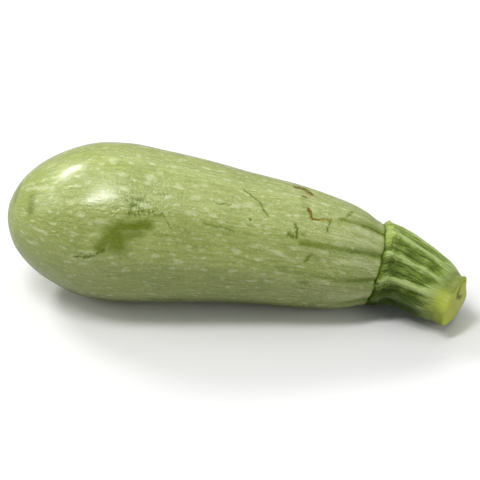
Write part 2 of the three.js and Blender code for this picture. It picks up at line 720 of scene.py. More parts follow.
    def build(self, finish: bpy.types.Material) -> bpy.types.Object:
        """Lays the skin and turns it into a plain mesh.

        Args:
            finish: The skin's material.

        Returns:
            The piece.
        """
        line = [bezier_point(self.line, step / self.LINE_STEPS) for step in range(self.LINE_STEPS + 1)]
        guides = {
            "Centre Line": poly_line(f"{self.name}_line", line),
            "Profile": poly_line(f"{self.name}_profile", [point * MM for point in self.profile.trail_mm]),
        }
        values = {
            **guides,
            "Sectors": self.sectors,
            "Rings": self.rings,
            "Finish": finish,
            **{size.name: size.value for size in self.sizes()},
        }
        maker = bpy.data.objects.new(f"{self.name}_maker", bpy.data.meshes.new(f"{self.name}_seed"))
        bpy.context.scene.collection.objects.link(maker)
        modifier = maker.modifiers.new("skin", "NODES")
        modifier.node_group = self.tree()
        for item in modifier.node_group.interface.items_tree:
            if item.in_out == "INPUT":
                modifier[item.identifier] = values[item.name]
        depsgraph = bpy.context.evaluated_depsgraph_get()
        mesh = bpy.data.meshes.new_from_object(
            maker.evaluated_get(depsgraph), preserve_all_data_layers=True, depsgraph=depsgraph
        )
        mesh.name = self.name
        piece = bpy.data.objects.new(self.name, mesh)
        bpy.context.scene.collection.objects.link(piece)
        for helper in (maker, *guides.values()):
            bpy.data.objects.remove(helper)
        return piece

    def dress(self, piece: bpy.types.Object) -> None:
        """Puts the piece on its body, in place of its CAD node.

        Args:
            piece: The piece.
        """
        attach(piece, BODY)
        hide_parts(self.node)
        LOG.info("%s: %d faces", piece.name, len(piece.data.polygons))


@dataclass
class Fruit(LaidSkin):
    """The fruit: softly ten-sided over its veins, with a faint scar at the blossom end.

    Attributes:
        veins: Number of veins.
        vein_phase_deg: Turn of the first one.
        edge_share: Height of the soft edges over the veins, as a share of the radius.
        edge_rise_mm: Stations between which the edges rise.
        furrow_depth_mm: Depth at the stem of the furrows that the edges turn into.
        furrow_half_width_mm: Their half width.
        furrow_length_mm: How far they run back from the stem.
        vein_swing_deg: How far the veins turn over that length.
        scar_radius_mm: Radius of the blossom scar.
        scar_height_mm: How far it stands out.
        swell_mm: Height of the broad unevenness of the skin.
    """

    veins: int = 10
    vein_phase_deg: float = 8.0
    edge_share: float = 0.008
    edge_rise_mm: tuple[float, float] = (6.0, 45.0)
    furrow_depth_mm: float = 0.45
    furrow_half_width_mm: float = 1.3
    furrow_length_mm: float = 20.0
    vein_swing_deg: float = -4.5
    scar_radius_mm: float = 4.6
    scar_height_mm: float = 0.15
    swell_mm: float = 0.35

    GIRTH_MM: ClassVar[float] = 25.0
    SWELLS_A_METRE: ClassVar[float] = 55.0
    SWELL_FADE_MM: ClassVar[float] = 4.0
    # Width of the veins' colour, in widths of their furrows.
    VEIN_SPREAD: ClassVar[float] = 1.5
    # These run over the distance from the middle of the scar, in radii of the scar.
    SCAR_BUTTON: ClassVar[Ramp] = Ramp(0.7, 1.3, 1.0, 0.0)
    SCAR_DIMPLE: ClassVar[Ramp] = Ramp(0.0, 0.45, 1.0, 0.0)
    SCAR_COLOUR: ClassVar[Ramp] = Ramp(0.3, 1.1, 1.0, 0.0)

    def sizes(self) -> list[Size]:
        """The sizes that the relief reads, as named inputs of the tree."""
        return [
            Size("Veins", self.veins, "Int"),
            Size("Vein Phase", math.radians(self.vein_phase_deg)),
            Size("Vein Swing", math.radians(self.vein_swing_deg)),
            Size("Edge Share", self.edge_share),
            Size("Edge Rise From", self.edge_rise_mm[0] * MM),
            Size("Edge Rise To", self.edge_rise_mm[1] * MM),
            Size("Furrow Depth", self.furrow_depth_mm * MM),
            Size("Furrow Half Width", self.furrow_half_width_mm * MM),
            Size("Furrow Length", self.furrow_length_mm * MM),
            Size("Scar Radius", self.scar_radius_mm * MM),
            Size("Scar Height", self.scar_height_mm * MM),
            Size("Swell", self.swell_mm * MM),
        ]

    def relief(self, board: Board, inlet: Inlet, place: Place) -> Relief:
        """Edges and furrows over the veins, the broad swell of the skin, and the scar.

        Args:
            board: The tree's board.
            inlet: Gives the wire of a named input.
            place: Where the point is.

        Returns:
            The relief.
        """
        from_stem = self.profile.reach_mm * MM - place.station
        clear_of_stem = board.fade(from_stem, 0.0, inlet("Furrow Length"))
        past_phase = place.turn - inlet("Vein Phase") - inlet("Vein Swing") * (1.0 - clear_of_stem)
        rise = board.fade(place.station, inlet("Edge Rise From"), inlet("Edge Rise To")) * clear_of_stem
        edges = board.math("COSINE", past_phase * inlet("Veins")) * inlet("Edge Share") * place.radius * rise
        half = math.pi / inlet("Veins")
        across = board.math("WRAP", past_phase, half, half * -1.0) * place.radius
        across = across / inlet("Furrow Half Width")
        furrow = board.bell(across) * (1.0 - clear_of_stem)
        swell = board.swing(place.around(self.GIRTH_MM * MM), self.SWELLS_A_METRE, 1.0) * inlet("Swell")
        outward = edges - furrow * inlet("Furrow Depth")
        outward = outward + swell * board.fade(place.radius, 0.0, self.SWELL_FADE_MM * MM)
        from_tip = place.radius / inlet("Scar Radius")
        button = board.ramp(from_tip, self.SCAR_BUTTON) - board.ramp(from_tip, self.SCAR_DIMPLE)
        vein = board.bell(across / self.VEIN_SPREAD) * (1.0 - clear_of_stem)
        forward = button * inlet("Scar Height") * -1.0
        return Relief(outward, forward, vein, board.ramp(from_tip, self.SCAR_COLOUR))


@dataclass(frozen=True)
class Corner:
    """A corner, or a dent, in the outline of the cut end.

    Attributes:
        turn_deg: Where it is.
        height_mm: How far it stands out, negative for a dent.
        half_width_deg: How wide it is.
    """

    turn_deg: float
    height_mm: float
    half_width_deg: float


@dataclass
class Stem(LaidSkin):
    """The stem stub: ribbed, with a warty foot on the fruit and a flared smooth collar at the cut.

    Attributes:
        seat: The way that the fruit's seat faces.
        gap_mm: Room between the seat and the foot.
        seat_blend_mm: Length over which the rings turn from the seat to the stem's own line.
        ribs: Number of ribs.
        rib_phase_deg: Turn of the first one at the foot.
        valley_depth_mm: Depth of the valleys between the ribs.
        fold_groove_depth_mm: Depth of the grooves beside the low fold in each valley.
        rib_fade_mm: Stations between which the ribs fade out.
        flare_mm: Stations between which the corners of the cut rise.
        corners: The corners of the cut.
    """

    seat: tuple[float, float, float] = (1.0, 0.0, 0.0)
    gap_mm: float = 0.05
    seat_blend_mm: float = 12.0
    ribs: int = 10
    rib_phase_deg: float = 3.0
    valley_depth_mm: float = 1.0
    fold_groove_depth_mm: float = 0.45
    rib_fade_mm: tuple[float, float] = (20.0, 29.5)
    flare_mm: tuple[float, float] = (29.0, 33.4)
    corners: tuple[Corner, ...] = (
        Corner(-14, 2.5, 27),
        Corner(45, 0.5, 24),
        Corner(101, 1.9, 32),
        Corner(-163, 1.3, 20),
        Corner(-121, 3.3, 23),
        Corner(-66, -0.6, 22),
    )

    GIRTH_MM: ClassVar[float] = 13.0
    RIB_PATCHES_A_METRE: ClassVar[float] = 150.0
    UNEQUAL: ClassVar[Ramp] = Ramp(0.25, 0.75, 0.35, 1.6)
    FIBRE_MM: ClassVar[float] = 0.42
    FIBRES_A_METRE: ClassVar[float] = 700.0
    FIBRE_STRETCH: ClassVar[float] = 6.0
    # Share of the fibres' height that is left on the smooth collar.
    FIBRES_ON_COLLAR: ClassVar[float] = 0.2
    # Share of the folds, beside the valleys, in what the material reads as the crest.
    FOLDS_IN_CREST: ClassVar[float] = 0.4
    WART_MM: ClassVar[float] = 0.6
    WARTS_A_METRE: ClassVar[float] = 560.0
    WART_REACH_MM: ClassVar[tuple[float, float]] = (2.5, 9.0)
    WART_SIDE: ClassVar[Ramp] = Ramp(0.1, 0.65, 1.0, 0.0)
    WART_LOT: ClassVar[Ramp] = Ramp(0.3, 0.8)
    # The crease in the cut face, as [toward the top, toward -Y] from the middle of the face.
    CREASE_PATH_MM: ClassVar[tuple[tuple[float, float], ...]] = (
        (6.8, -3.5),
        (7.0, -2.3),
        (6.7, -1.3),
        (5.9, -0.65),
        (4.7, -0.6),
        (3.2, -1.1),
        (1.5, -2.1),
        (-0.7, -3.9),
    )
    CREASE_HALF_WIDTH_MM: ClassVar[float] = 1.25
    CREASE_DEPTH_MM: ClassVar[float] = 0.4
    # Share of the rim's radius inside which a point is on the cut face.
    FACE_SHARE: ClassVar[float] = 0.999

    @property
    def line(self) -> list[Vector]:
        """The centre line's Bezier points, moved off the seat by the gap, in metres."""
        return [Vector(point) * MM + Vector(self.seat) * (self.gap_mm * MM) for point in self.line_mm]

    def sizes(self) -> list[Size]:
        """The sizes that the relief reads, as named inputs of the tree."""
        return [
            Size("Ribs", self.ribs, "Int"),
            Size("Rib Phase", math.radians(self.rib_phase_deg)),
            Size("Valley Depth", self.valley_depth_mm * MM),
            Size("Fold Groove Depth", self.fold_groove_depth_mm * MM),
            Size("Rib Fade From", self.rib_fade_mm[0] * MM),
            Size("Rib Fade To", self.rib_fade_mm[1] * MM),
            Size("Flare From", self.flare_mm[0] * MM),
            Size("Flare To", self.flare_mm[1] * MM),
            Size("Wart Height", self.WART_MM * MM),
            Size("Fibre Height", self.FIBRE_MM * MM),
            Size("Crease Depth", self.CREASE_DEPTH_MM * MM),
        ]

    def facing(self, board: Board, station: Wire, own: Wire) -> Wire:
        """Turns the rings from the seat's plane to the stem's own line.

        Args:
            board: The tree's board.
            station: Metres along the centre line.
            own: The centre line's own direction.

        Returns:
            The direction.
        """
        share = board.fade(station, 0.0, self.seat_blend_mm * MM)
        turned = board.vector("SCALE", board.vector("SUBTRACT", own, self.seat), share)
        return board.vector("NORMALIZE", board.vector("ADD", turned, self.seat))

    def relief(self, board: Board, inlet: Inlet, place: Place) -> Relief:
        """Ribs, warts on the foot, fibres, and the corners and crease of the cut end.

        Args:
            board: The tree's board.
            inlet: Gives the wire of a named input.
            place: Where the point is.

        Returns:
            The relief.
        """
        around = place.around(self.GIRTH_MM * MM)
        swing = (place.grown_turn - inlet("Rib Phase")) * inlet("Ribs")
        valley, folds = ((1.0 - board.math("COSINE", swing * times)) * 0.5 for times in (1.0, 2.0))
        ribbed = board.fade(place.station, inlet("Rib Fade From"), inlet("Rib Fade To"), 1.0, 0.0)
        unequal = board.ramp(board.noise(around, self.RIB_PATCHES_A_METRE, 1.0), self.UNEQUAL)
        depth = (valley * inlet("Valley Depth") * unequal + folds * inlet("Fold Groove Depth")) * ribbed
        drawn = board.vector("MULTIPLY", around, (1.0 / self.FIBRE_STRETCH, 1.0, 1.0))
        fibrous = ribbed * (1.0 - self.FIBRES_ON_COLLAR) + self.FIBRES_ON_COLLAR
        fibres = board.swing(drawn, self.FIBRES_A_METRE) * fibrous * inlet("Fibre Height")
        foot = board.fade(place.station, self.WART_REACH_MM[0] * MM, self.WART_REACH_MM[1] * MM, 1.0, 0.0)
        away, lot = board.soft_cells(around, self.WARTS_A_METRE)
        warts = board.ramp(away, self.WART_SIDE) * board.ramp(lot, self.WART_LOT) * foot
        warts = warts * inlet("Wart Height")
        flare = board.fade(place.station, inlet("Flare From"), inlet("Flare To"))
        outward = flare * self._corners(board, place) - depth + fibres + warts
        rim_mm = self.profile.runs_mm[2][0][1]
        on_side = board.math("MINIMUM", place.radius / (rim_mm * MM), 1.0)
        crease = self._crease(board, place, rim_mm)
        hollow = valley * (1.0 - self.FOLDS_IN_CREST) + folds * self.FOLDS_IN_CREST
        forward = crease * inlet("Crease Depth") * -1.0
        return Relief(outward * on_side, forward, 1.0 - hollow * ribbed, crease)

    def _corners(self, board: Board, place: Place) -> Wire:
        """How far the corners stand out around the cut, in metres.

        Args:
            board: The tree's board.
            place: Where the point is.

        Returns:
            The height.
        """
        total = board.math("MULTIPLY", place.turn, 0.0)
        for corner in self.corners:
            swing = board.math("WRAP", place.turn - math.radians(corner.turn_deg), math.pi, -math.pi)
            across = swing / math.radians(corner.half_width_deg)
            total = total + board.bell(across) * (corner.height_mm * MM)
        return total

    def _crease(self, board: Board, place: Place, rim_mm: float) -> Wire:
        """The crease in the cut face.

        Args:
            board: The tree's board.
            place: Where the point is.
            rim_mm: The radius of the rim.

        Returns:
            A mask, 1 in the crease.
        """
        spot = board.xyz(place.radius * place.cosine, place.radius * place.sine, 0.0)
        path = [Vector((*point, 0.0)) * MM for point in self.CREASE_PATH_MM]
        nearest = board.distance_to_path(spot, path) / (self.CREASE_HALF_WIDTH_MM * MM)
        on_face = board.math("LESS_THAN", place.radius, rim_mm * MM * self.FACE_SHARE)
        past_foot = board.math("GREATER_THAN", place.station, self.flare_mm[0] * MM)
        return board.bell(nearest) * on_face * past_foot


# ---------------------------------------------------------------- finishes


def skin_place_group() -> bpy.types.NodeTree:
    """Reads the place on a skin.

    Returns:
        A group that gives the travel in millimetres, the turn in degrees, the two as one vector, and a
        seamless place in millimetres around the skin, for a skin of the given girth.
    """
    outlets = [Port("Travel"), Port("Turn"), Port("Flat", "Vector"), Port("Round", "Vector")]
    board, inlet, outlet = new_tree("skin place", "ShaderNodeTree", [Port("Girth")], outlets)
    attribute = board.node("ShaderNodeAttribute", {}, attribute_name=SKIN_ATTRIBUTE)
    travel, cosine, sine = board.parts(board.out(attribute, "Vector"))
    turn = board.math("DEGREES", board.math("ARCTAN2", sine, cosine))
    board.feed(outlet.inputs["Travel"], travel)
    board.feed(outlet.inputs["Turn"], turn)
    board.feed(outlet.inputs["Flat"], board.xyz(travel, turn, 0.0))
    board.feed(outlet.inputs["Round"], board.xyz(travel, cosine * inlet("Girth"), sine * inlet("Girth")))
    return board.tree


def stroke_group() -> bpy.types.NodeTree:
    """Draws a straight stroke between two places on a skin.

    Returns:
        A group whose mask is 1 on the stroke. Places are travel in millimetres and turn in degrees.
    """
    inlets = [
        Port("Place", "Vector"),
        Port("From", "Vector"),
        Port("To", "Vector"),
        Port("Girth"),
        Port("Half Width"),
        Port("Softness"),
    ]
    board, inlet, outlet = new_tree("stroke", "ShaderNodeTree", inlets, [Port("Mask")])
    to_mm = board.xyz(1.0, board.math("RADIANS", inlet("Girth")), 0.0)
    offset = board.vector("MULTIPLY", board.vector("SUBTRACT", inlet("Place"), inlet("From")), to_mm)
    course = board.vector("MULTIPLY", board.vector("SUBTRACT", inlet("To"), inlet("From")), to_mm)
    share = board.vector("DOT_PRODUCT", offset, course) / board.vector("DOT_PRODUCT", course, course)
    on_stroke = board.math("MINIMUM", board.math("MAXIMUM", share, 0.0), 1.0)
    gap = board.vector("SUBTRACT", offset, board.vector("SCALE", course, on_stroke))
    distance = board.vector("LENGTH", gap)
    core = inlet("Half Width") * (1.0 - inlet("Softness"))
    board.feed(outlet.inputs["Mask"], board.fade(distance, core, inlet("Half Width"), 1.0, 0.0))
    return board.tree


def flecks_group() -> bpy.types.NodeTree:
    """Scatters long flecks in loose rows along a skin.

    Returns:
        A group whose mask is 1 on the flecks. Lengths are in millimetres.
    """
    inlets = [
        Port("Travel"),
        Port("Turn"),
        Port("Girth"),
        Port("Rows"),
        Port("Spacing"),
        Port("Half Length"),
        Port("Half Width"),
        Port("Share"),
        Port("Seed"),
    ]
    board, inlet, outlet = new_tree("flecks", "ShaderNodeTree", inlets, [Port("Mask")])
    row_shift = 9.0
    looseness = 0.6
    redraw = 7.31
    sizes = Ramp(0.0, 1.0, 0.55, 1.25)
    edge = Ramp(0.35, 1.0, 1.0, 0.0)
    across = inlet("Turn") * inlet("Rows") / 360.0
    row = board.math("FLOOR", across + 0.5)
    home = board.math("WRAP", row, inlet("Rows"), 0.0)
    row_noise = board.node("ShaderNodeTexWhiteNoise", {"Vector": board.xyz(home, inlet("Seed"), 0.5)})
    along = inlet("Travel") / inlet("Spacing") + board.out(row_noise, "Value") * row_shift
    cell = board.math("FLOOR", along)
    lots = board.node("ShaderNodeTexWhiteNoise", {"Vector": board.xyz(cell, home, inlet("Seed"))})
    shift, drift, lot = board.parts(board.out(lots, "Color"))
    size = board.ramp(lot, sizes)
    ahead = (along - cell - 0.5 - (shift - 0.5) * looseness) * inlet("Spacing")
    ahead = ahead / (inlet("Half Length") * size)
    row_mm = inlet("Girth") * (2 * math.pi) / inlet("Rows")
    aside = (across - row - (drift - 0.5) * looseness) * row_mm / (inlet("Half Width") * size)
    distance = board.vector("LENGTH", board.xyz(ahead, aside, 0.0))
    present = board.math("LESS_THAN", board.math("FRACT", lot * redraw), inlet("Share"))
    board.feed(outlet.inputs["Mask"], board.ramp(distance, edge) * present)
    return board.tree


def grain_group() -> bpy.types.NodeTree:
    """Gives the uneven look of plant skin at three sizes.

    Returns:
        A group that gives broad patches, fine grain and streaks along the skin, each around 0.
    """
    inlets = [Port("Place", "Vector"), Port("Patch"), Port("Grain"), Port("Streak"), Port("Stretch")]
    outlets = [Port("Patches"), Port("Grains"), Port("Streaks")]
    board, inlet, outlet = new_tree("plant grain", "ShaderNodeTree", inlets, outlets)
    drawn = board.vector("MULTIPLY", inlet("Place"), board.xyz(1.0 / inlet("Stretch"), 1.0, 1.0))
    for name, place, size, detail, roughness in (
        ("Patches", inlet("Place"), "Patch", 2.0, 0.5),
        ("Grains", inlet("Place"), "Grain", 3.0, 0.6),
        ("Streaks", drawn, "Streak", 2.0, 0.6),
    ):
        board.feed(outlet.inputs[name], board.swing(place, 1.0 / inlet(size), detail, roughness))
    return board.tree


@dataclass(frozen=True)
class Effects:
    """The shader groups that the finishes share.

    Attributes:
        place: Reads the place on a skin.
        stroke: Draws a stroke.
        flecks: Scatters flecks.
        grain: Gives uneven patches, grain and streaks.
    """

    place: bpy.types.NodeTree
    stroke: bpy.types.NodeTree
    flecks: bpy.types.NodeTree
    grain: bpy.types.NodeTree

    @classmethod
    def make(cls) -> Effects:
        """Builds each group once."""
        return cls(skin_place_group(), stroke_group(), flecks_group(), grain_group())


class Tint(Enum):
    """The colours that a mark on the fruit can have."""

    GREEN = "green"
    BRUISE = "bruise"
    CRACKED = "cracked"
    BROWN = "brown"
    PALE = "pale"


@dataclass(frozen=True)
class Mark:
    """A scratch, crack, streak or bruise on the fruit.

    Attributes:
        name: What it is.
        tint: Its colour.
        half_width_mm: Half its width.
        path: Places along it, as travel in millimetres and turn in degrees.
        softness: The share of its half width over which it fades out.
        strength: How much of its colour shows, 0 to 1.
    """

    name: str
    tint: Tint
    half_width_mm: float
    path: tuple[tuple[float, float], ...]
    softness: float = 0.6
    strength: float = 1.0


MARKS = (
    Mark("bruise", Tint.BRUISE, 3.4, ((57.3, 54.8), (60.3, 54.5), (67.1, 51.8)), 0.9, 1.0),
    Mark("bruise slope", Tint.BRUISE, 3.4, ((57.3, 54.8), (54.1, 63.0), (51.2, 71.0)), 0.9, 0.95),
    Mark("bruise body", Tint.BRUISE, 6.6, ((56.2, 61.5), (57.0, 66.5)), 0.8, 0.92),
    Mark("bruise core", Tint.BRUISE, 2.8, ((57.4, 59.5), (58.6, 69.0)), 0.95, 1.0),
    Mark("bruise foot", Tint.BRUISE, 2.2, ((58.8, 69.5), (58.0, 74.5)), 0.95, 0.7),
    Mark("bruise fill", Tint.BRUISE, 3.8, ((60.5, 60.0), (64.3, 58.0)), 0.95, 0.75),
    Mark("bruise stalk", Tint.BRUISE, 1.9, ((60.1, 51.0), (60.7, 44.5)), 0.95, 0.45),
    Mark("cracks", Tint.CRACKED, 2.1, ((58.5, 34.8), (61.5, 34.2), (64.0, 33.5)), 0.8, 1.0),
    Mark("cracks below", Tint.CRACKED, 2.3, ((61.2, 38.5), (63.6, 37.5)), 0.8, 1.0),
    Mark("low cracks", Tint.CRACKED, 1.9, ((60.3, 44.5), (63.3, 43.5), (66.9, 42), (70.9, 42.5)), 0.8, 0.95),
    Mark("upper cracks", Tint.CRACKED, 1.9, ((66.5, 26), (71.0, 28.5)), 0.9, 0.4),
    Mark("crack", Tint.GREEN, 0.6, ((60.9, 34.5), (61.2, 39.0), (60.4, 45.0)), 0.8, 0.6),
    Mark("crack tail", Tint.GREEN, 0.5, ((71.5, 43), (75.2, 52.5)), 0.8, 0.5),
    Mark(
        "curved scratch", Tint.GREEN, 0.81, ((41.8, 80.5), (45.2, 80), (49.3, 77.5), (52.7, 72.5)), 0.9, 0.75
    ),
    Mark("second scratch", Tint.GREEN, 0.47, ((43.5, 78), (48.5, 76.5)), 0.9, 0.5),
    Mark(
        "forked scratch", Tint.GREEN, 0.78, ((96.8, 7.5), (99.0, 11), (102.4, 16.5), (105.7, 28)), 0.9, 0.66
    ),
    Mark("fork", Tint.GREEN, 0.6, ((97.2, 9.5), (101.0, 6.5)), 0.9, 0.5),
    Mark("waxy patch", Tint.PALE, 1.5, ((94.1, 25.5), (97, 24), (99.8, 21)), 0.9, 0.9),
    Mark("short streak", Tint.GREEN, 0.81, ((88.5, 27), (93.6, 25)), 0.9, 0.55),
    Mark("streak under the patch", Tint.GREEN, 0.61, ((93.5, 29), (98.0, 28)), 0.9, 0.4),
    Mark("long streak", Tint.GREEN, 1.08, ((85.4, 45.5), (90.7, 46), (95.8, 47.5)), 0.95, 0.5),
    Mark("dot", Tint.GREEN, 0.74, ((100.4, 35), (100.8, 35)), 0.8, 0.8),
    Mark("scar", Tint.BROWN, 1.8, ((113.8, -17.5), (116.6, -20), (119.3, -13)), 0.8, 1.0),
    Mark("brown dot", Tint.BROWN, 1.1, ((117.0, -3.5), (117.5, -3.5)), 0.8, 0.9),
    Mark("green under the dot", Tint.BRUISE, 1.6, ((116.6, -2), (117.4, 10)), 0.95, 0.4),
    Mark("brown line", Tint.BROWN, 0.95, ((118.9, 11.5), (120, 17.5), (120.4, 22)), 0.8, 0.85),
    Mark("thin brown line", Tint.BROWN, 0.85, ((120.4, 22), (122.7, 21), (126.8, 16.5)), 0.9, 0.66),
    Mark("line end", Tint.GREEN, 0.81, ((126.8, 16.5), (126.3, 31.5)), 0.8, 0.7),
    Mark("hook", Tint.GREEN, 1.01, ((115.1, 31.5), (116.1, 35), (116.6, 44)), 0.8, 0.75),
    Mark("spot", Tint.GREEN, 2.03, ((113.9, 42), (115.3, 43)), 0.9, 0.7),
    Mark("second spot", Tint.GREEN, 1.49, ((118.3, 39.5), (118.7, 39.5)), 0.9, 0.5),
    Mark("thin line", Tint.GREEN, 1.01, ((122.5, 56), (121, 63.5)), 0.8, 0.6),
    Mark("green beside the line", Tint.BRUISE, 1.5, ((122.5, 57), (125.5, 59)), 0.95, 0.35),
    Mark("smudge", Tint.GREEN, 1.76, ((120.8, 84.5), (122.8, 84.5)), 0.95, 0.5),
    Mark("small hook", Tint.GREEN, 1.08, ((134.2, -5), (132.3, 6.5)), 0.8, 0.6),
    Mark("blossom arc", Tint.BRUISE, 3.2, ((11.2, 3.5), (9.8, 29.5)), 0.95, 0.85),
    Mark("blossom vein", Tint.BRUISE, 3.0, ((20.8, 34.5), (21.4, 43), (20.9, 50)), 0.98, 0.8),
    Mark("pale streak", Tint.PALE, 1.3, ((17.4, 22), (30.4, 27.5)), 0.9, 1.0),
    Mark("pale streak by the arc", Tint.PALE, 0.8, ((13.5, 12), (19.5, 15)), 0.9, 0.7),
    Mark("low pale streak", Tint.PALE, 0.9, ((15.9, 55), (20.4, 52)), 0.9, 0.7),
    Mark("side pale streak", Tint.PALE, 1.0, ((22.3, 65.5), (30.1, 68.5)), 0.9, 0.7),
    Mark("upper vein", Tint.BRUISE, 1.5, ((130.5, 13), (137.5, 10), (147.0, 5)), 0.9, 0.9),
    Mark("middle vein", Tint.BRUISE, 1.9, ((118.5, 47), (127.0, 46), (137.0, 44), (147.5, 39.5)), 0.95, 0.85),
    Mark("lower vein", Tint.BRUISE, 1.9, ((112.0, 73), (122.0, 76), (134.0, 76.5), (147.0, 74.5)), 0.95, 0.5),
    Mark("upper vein core", Tint.GREEN, 0.9, ((138.5, 9.5), (147.2, 5)), 0.95, 0.75),
    Mark("middle vein core", Tint.GREEN, 1.1, ((134.5, 44.5), (147.5, 39.5)), 0.98, 0.8),
    Mark("lower vein core", Tint.GREEN, 0.95, ((136.5, 76.5), (147.2, 74.5)), 0.98, 0.5),
    Mark("upper pale lobe", Tint.PALE, 2.3, ((133.0, 20), (145.5, 16)), 0.95, 0.7),
    Mark("second pale lobe", Tint.PALE, 2.0, ((129.0, 33), (144.5, 30)), 0.95, 0.6),
    Mark("low pale lobe", Tint.PALE, 1.4, ((130.0, 57), (145.0, 55)), 0.95, 0.5),
    Mark("bottom pale lobe", Tint.PALE, 3.6, ((133.0, 101), (146.8, 99)), 0.95, 0.6),
    Mark("neck pale streak", Tint.PALE, 0.9, ((104.0, 56), (111.0, 59), (118.0, 67)), 0.9, 0.6),
    Mark("back scratch", Tint.GREEN, 0.61, ((62, -96), (66, -101), (72, -104), (77, -103)), 0.8, 0.7),
    Mark("back scar", Tint.BROWN, 0.7, ((99, -121), (102, -117), (104, -119)), 0.7, 0.9),
    Mark("back bruise", Tint.BRUISE, 2.4, ((31, -84), (35, -80), (38, -81)), 0.95, 0.7),
    Mark("under scratch", Tint.GREEN, 0.61, ((92, 148), (97, 142), (103, 141)), 0.8, 0.7),
    Mark("under scar", Tint.BROWN, 0.7, ((48, 133), (52, 129)), 0.7, 0.8),
    Mark("back vein", Tint.BRUISE, 1.2, ((122.0, -62), (134.0, -64), (147.0, -66.5)), 0.95, 0.6),
    Mark("low back vein", Tint.BRUISE, 1.2, ((126.0, -99), (136.0, -101), (147.0, -104)), 0.95, 0.6),
)


def new_material(name: str) -> NewMaterial:
    """Starts a material.

    Args:
        name: Its name.

    Returns:
        The material, its board and its shader.
    """
    material = bpy.data.materials.new(name)
    material.use_nodes = True
    return material, Board(material.node_tree), material.node_tree.nodes["Principled BSDF"]


@dataclass(frozen=True)
class Unevenness:
    """What makes plant skin uneven, each around 0.

    Attributes:
        patches: Broad patches.
        grains: Fine grain.
        streaks: Streaks along the skin.
    """

    patches: Wire
    grains: Wire
    streaks: Wire

    def mix(self, patches: float = 0.0, grains: float = 0.0, streaks: float = 0.0) -> Wire:
        """Adds them up.

        Args:
            patches: The weight of the patches.
            grains: The weight of the grain.
            streaks: The weight of the streaks.

        Returns:
            The sum of those with a weight.
        """
        weights = ((self.patches, patches), (self.grains, grains), (self.streaks, streaks))
        first, *others = [wire * weight for wire, weight in weights if weight]
        for other in others:
            first = first + other
        return first


@dataclass(frozen=True)
class Ground:
    """A started material and what its finish reads of the skin.

    Attributes:
        material: The material.
        board: Its board.
        shader: Its shader.
        travel: The travel in millimetres.
        turn: The turn in degrees.
        flat: The two as one vector.
        around: The seamless place in millimetres.
        uneven: What makes the skin uneven.
    """

    material: bpy.types.Material
    board: Board
    shader: bpy.types.Node
    travel: Wire
    turn: Wire
    flat: Wire
    around: Wire
    uneven: Unevenness

    BUMP_STRENGTH: ClassVar[float] = 0.8

    @classmethod
    def start(cls, name: str, effects: Effects, girth_mm: float, grain: dict[str, float]) -> Ground:
        """Starts a finish.

        Args:
            name: The material's name.
            effects: The shared groups.
            girth_mm: The radius at which its patterns have their true size.
            grain: The sizes of its patches, grain and streaks, and the streaks' stretch.

        Returns:
            The ground for its colours.
        """
        material, board, shader = new_material(name)
        place = board.group(effects.place, {"Girth": girth_mm})
        travel, turn, flat, around = (board.out(place, part) for part in ("Travel", "Turn", "Flat", "Round"))
        sizes = board.group(effects.grain, {"Place": around, **grain})
        uneven = Unevenness(*(board.out(sizes, part) for part in ("Patches", "Grains", "Streaks")))
        return cls(material, board, shader, travel, turn, flat, around, uneven)

    def close(self, colour: Wire, rough: Wire, height: Wire, relief: float) -> bpy.types.Material:
        """Gives the shader its colour, roughness and fine relief.

        Args:
            colour: The colour.
            rough: The roughness.
            height: The height of the fine relief, around 0.
            relief: How far a height of 1 stands out, in metres.

        Returns:
            The finished material.
        """
        bumps = {"Height": height, "Strength": self.BUMP_STRENGTH, "Distance": relief}
        normal = self.board.out(self.board.node("ShaderNodeBump", bumps), "Normal")
        for socket, wire in (("Base Color", colour), ("Roughness", rough), ("Normal", normal)):
            self.board.feed(self.shader.inputs[socket], wire)
        return self.material


@dataclass(frozen=True)
class FleckRows:
    """Rows of flecks of one size.

    Attributes:
        rows: How many rows lie around the fruit.
        spacing_mm: The distance from one place to the next in a row.
        half_length_mm: Half a fleck's length.
        half_width_mm: Half its width.
        share: The share of the places that hold one.
        seed: The seed of their draw.
        weight: How strongly they show.
    """

    rows: float
    spacing_mm: float
    half_length_mm: float
    half_width_mm: float
    share: float
    seed: float
    weight: float


